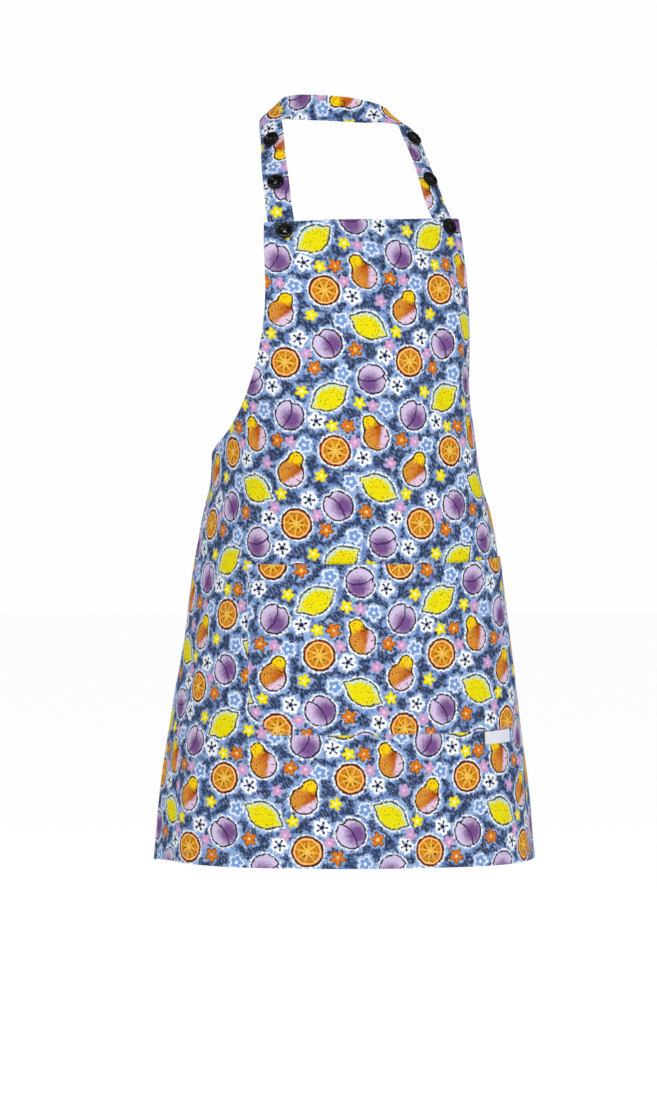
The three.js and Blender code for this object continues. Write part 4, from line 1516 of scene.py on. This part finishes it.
strap_offset = STRAP_WIDTH / 2 - STRAP_SEAM
starts, ends, looks = stacked([strap_seam(offset) for offset in (-strap_offset, strap_offset)])
strap_stitches = stitch_rows("strap_stitches", starts, ends, looks, STITCH_RADIUS, seam_thread)
settle(strap_stitches, "printed_cotton")
print("strap seams:", stitch_count(strap_stitches), "stitches")

# %% [markdown]
# ## Waist ties
# Two ties are sewn inside the panel's waist corners and meet at the centre back. Each lies flat at the
# corner and is drawn together into pleats where the knot pulls it in. The ties are grids on the same
# level sections as the panel, which carry on round the back, so they leave the corners without a kink.
# A row of stitches runs along both of their edges.

# %% Ties from the corners to the knot
TIE_WIDTH = 28
TIE_NECK = 15
TIE_WALL = 1.6
TIE_OVERLAP = 28
TIE_BELOW = 2                            # its upper edge, below the waist corner
TIE_DROP = WAIST_DROP + TIE_WIDTH / 2 + TIE_BELOW
TIE_BED = 0.7
TIE_DEPTH = HEM_WALL + TIE_BED
TIE_SLACK = 0.4
TIE_TAPER = 0.6
TIE_PLEAT = 1.1
TIE_GROOVE = 0.4
TIE_GROOVE_IN = 2.5                      # from the tie's edge
TIE_RIPPLE = 0.5
TIE_ROWS = (0.74, 0.82, 0.9, 0.96, 1)    # shares of the half width; rows are even inside TIE_MIDDLE
TIE_MIDDLE = 0.62
TIE_STEPS = 48
TIE_PRINT = (17, 88)
TIE_SEAM = 0.82                          # share of the half width
TIE_CENTRE = -73                         # middle of the waist's section
KNOT_RADIUS = 13
KNOT_SINK = 3                            # how far a tie runs into the knot


def band_seams(place, length):
    """Two rows of stitches along a band; place takes shares of its length and of its half width."""
    starts = np.arange(SEAM_START, length - SEAM_STOP, STITCH_PITCH) / length
    rows = []
    for share in (-TIE_SEAM, TIE_SEAM):
        rows.append([place(part, np.full(len(part), share))[0]
                     for part in (starts, starts + STITCH_LENGTH / length)])
    return stacked(rows)


def tie_place(side):
    def place(column, row):
        pulled = soft_step(column, TIE_TAPER, 1)
        width = TIE_WIDTH + (TIE_NECK - TIE_WIDTH) * pulled
        drop = TIE_DROP + row * width / 2
        start = HALF_WIDTH - TIE_OVERLAP
        end = np.interp(drop, tie_drops, tie_ends)
        across = side * (start + (end - start) * column)
        edge = (1 - np.abs(row)) * width / 2
        pleats = TIE_PLEAT * pulled * np.cos(row * 7.0)
        groove = TIE_GROOVE * bell(edge, TIE_GROOVE_IN, 0.6) * (1 - pulled)
        ripple = TIE_RIPPLE * wrinkles(across, drop, 30, 15)
        flat = np.stack((across + TIE_PRINT[0], -row * TIE_WIDTH / 2 + TIE_PRINT[1]), axis=1)
        return on_cloth(across, drop, -TIE_DEPTH - TIE_SLACK + pleats - groove + ripple), flat
    return place


tie_drops = np.linspace(TIE_DROP - TIE_WIDTH, TIE_DROP + TIE_WIDTH, 15)
tie_ends = np.array([half_girth(drop) for drop in tie_drops]) - KNOT_RADIUS + KNOT_SINK
tie_length = tie_ends.mean() - (HALF_WIDTH - TIE_OVERLAP)
tie_shares = np.linspace(0, 1, TIE_STEPS + 1)
tie_rows = both_ways(np.concatenate((np.linspace(0, TIE_MIDDLE, 7), TIE_ROWS)))
ties, tie_seams = {}, {}
for side_name, side in SIDES.items():
    tie = grid_sheet(f"tie_{side_name}", tie_shares[::side], tie_rows, tie_place(side))
    tie.data.materials.append(cotton_face)
    thicken(tie, TIE_WALL)
    settle(tie, "printed_cotton", f"waist_tie_{side_name}")
    starts, ends = band_seams(tie_place(side), tie_length)
    looks = unit(starts * (1, 1, 0) - (0, TIE_CENTRE, 0))
    seam = stitch_rows(f"tie_stitches_{side_name}", starts, ends, looks, STITCH_RADIUS, seam_thread)
    settle(seam, "printed_cotton")
    ties[side_name], tie_seams[side_name] = tie, seam
print("each tie runs", round(tie_length), "mm to the knot")

# %% [markdown]
# ## The knot and its hanging ends
# The knot is a soft lump with one tie wrapped slantwise over the other, and two free ends that hang from
# it. A simulated knot is slow and hard to steer, and all that shows of it is its outside. So the lump is
# a sphere, flattened and creased, the wrap is a band bent round it from a grid, and the ends are long
# grids with a slight twist, each in its own depth so that they don't touch.

# %% The knot's lump
KNOT_FLAT = 0.75
KNOT_HALF_HEIGHT = 13
LUMP_SHARE = 0.92                        # the lump stays inside the wrap
LUMP_CREASE = 0.07
knot_middle = on_cloth([half_girth(TIE_DROP)], [TIE_DROP], -TIE_DEPTH - TIE_WALL / 2)[0]
knot_middle[0] = 0

bpy.ops.object.select_all(action="DESELECT")
bpy.ops.mesh.primitive_uv_sphere_add(segments=64, ring_count=32, radius=1, calc_uvs=False)
knot_lump = bpy.context.object
knot_lump.name = knot_lump.data.name = "knot_lump"
ball = np.array([point.co for point in knot_lump.data.vertices])
turn = np.arctan2(ball[:, 1], ball[:, 0])
crease = 1 - LUMP_CREASE * np.abs(np.sin(turn * 4 + ball[:, 2] * 1.5)) * (1 - ball[:, 2] ** 2)
lump = ball * crease[:, None] * (KNOT_RADIUS, KNOT_RADIUS * KNOT_FLAT, KNOT_HALF_HEIGHT) * LUMP_SHARE
knot_lump.data.vertices.foreach_set("co", ((lump + knot_middle) * MM).ravel())
keep_flat(knot_lump.data, np.stack((turn * KNOT_RADIUS, lump[:, 2]), axis=1))
knot_lump.data.materials.append(cotton_face)
bpy.ops.object.shade_smooth()
settle(knot_lump, "printed_cotton", "waist_knot")
print("knot at", np.round(knot_middle, 1), "mm")

# %% The knot's wrap
WRAP_SLANT = math.radians(28)
WRAP_WIDTH = 17
WRAP_TURN = 2.5                          # radians to each side of the middle
WRAP_CREASE = 0.5
WRAP_OFF = 0.8                           # the wrap lies this far behind the lump's middle
WRAP_RISE = 1.5
WRAP_STEPS = (40, 16)
WRAP_PRINT = (63, 31)


def wrap_place(column, row):
    """A band round the lump: column runs round it, row across the band."""
    offset = row * WRAP_WIDTH / 2
    hug = np.sqrt(np.maximum(0.05, 1 - (offset / (KNOT_HALF_HEIGHT * 1.15)) ** 2))
    crease = WRAP_CREASE * (np.cos(row * 9 + column) - np.abs(row) ** 6)
    reach = hug * KNOT_RADIUS + crease
    x, y = reach * np.sin(column), reach * KNOT_FLAT * np.cos(column) + WRAP_OFF
    up = offset + WRAP_RISE * np.sin(column)
    slanted = np.stack((x * math.cos(WRAP_SLANT) - up * math.sin(WRAP_SLANT), y,
                        x * math.sin(WRAP_SLANT) + up * math.cos(WRAP_SLANT)), axis=1)
    flat = np.stack((column * KNOT_RADIUS + WRAP_PRINT[0], offset + WRAP_PRINT[1]), axis=1)
    return slanted + knot_middle, flat


wrap_columns = np.linspace(-WRAP_TURN, WRAP_TURN, WRAP_STEPS[0] + 1)
wrap_rows = np.linspace(-1, 1, WRAP_STEPS[1] + 1)
knot_wrap = grid_sheet("knot_wrap", wrap_columns, wrap_rows, wrap_place)
bpy.ops.object.mode_set(mode="EDIT")
bpy.ops.mesh.select_all(action="SELECT")
bpy.ops.mesh.flip_normals()
bpy.ops.object.mode_set(mode="OBJECT")
knot_wrap.data.materials.append(cotton_face)
thicken(knot_wrap, TIE_WALL)
settle(knot_wrap, "printed_cotton")
print("knot wrap has", len(knot_wrap.data.polygons), "faces")

# %% Hanging ends
END_LENGTH = 285
END_WIDTH = 26
END_START = 4
END_SPREAD = 20
END_APART = 2.2
END_DRIFT = 3
END_WIDENING = 0.25
END_COLUMNS = (0.74, 0.81, 0.88, 0.96, 1)
END_MIDDLE = 0.6
END_STEPS = 80
END_TWIST = 0.05
END_TILT = 0.02
END_SWAY = 0.9
END_PRINT = (25, 8)


def end_place(side):
    def place(column, row):
        width = TIE_NECK + (END_WIDTH - TIE_NECK) * np.minimum(1, row / END_WIDENING)
        offset = column * width / 2
        x = side * (END_START + END_SPREAD * row) - offset
        pleats = np.cos(column * 6) * (1 - soft_step(row, 0, 0.3))
        y = side * (END_APART + END_DRIFT * np.sin(np.pi * row)) + TIE_WALL / 2 + pleats
        y = y + END_TWIST * offset * np.sin(row * 6 + side) + END_SWAY * np.sin(row * 9 + side) * row
        z = -END_LENGTH * row + END_TILT * offset * side
        flat = np.stack((column * END_WIDTH / 2 + END_PRINT[0] * side,
                         -END_LENGTH * row + END_PRINT[1] * side), axis=1)
        return np.stack((x, y, z), axis=1) + knot_middle, flat
    return place


def along_first(place):
    """The same places, asked for by row and then column."""
    def turned(row, column):
        return place(column, row)
    return turned


end_columns = both_ways(np.concatenate((np.linspace(0, END_MIDDLE, 5), END_COLUMNS)))
end_rows = np.linspace(0, 1, END_STEPS + 1)
tie_hangs, end_seams = {}, {}
for side_name, side in SIDES.items():
    place = end_place(side)
    end = grid_sheet(f"tie_end_{side_name}", end_columns, end_rows, place)
    end.data.materials.append(cotton_face)
    thicken(end, TIE_WALL)
    settle(end, "printed_cotton")
    starts, ends = band_seams(along_first(place), END_LENGTH)
    looks = np.tile((0.0, 1, 0), (len(starts), 1))
    seam = stitch_rows(f"tie_end_stitches_{side_name}", starts, ends, looks, STITCH_RADIUS, seam_thread)
    settle(seam, "printed_cotton")
    tie_hangs[side_name], end_seams[side_name] = end, seam
print("ends hang", END_LENGTH, "mm below the knot")

# %% [markdown]
# ## The panel's cut area
# The panel's area as it was cut is worked out from the armhole's curve and the skirt below the waist.

# %% Sheets and their cuts
AREA_STEPS = 400

half_edge = armhole(np.linspace(0, 1, AREA_STEPS))
bib_area = ((half_edge[1:, 0] + half_edge[:-1, 0]) * np.diff(half_edge[:, 1])).sum()
panel_area = bib_area + 2 * HALF_WIDTH * (LENGTH - WAIST_DROP)
panel_area * MM**2
print("panel cut", round(panel_area * MM**2, 4), "square metres")
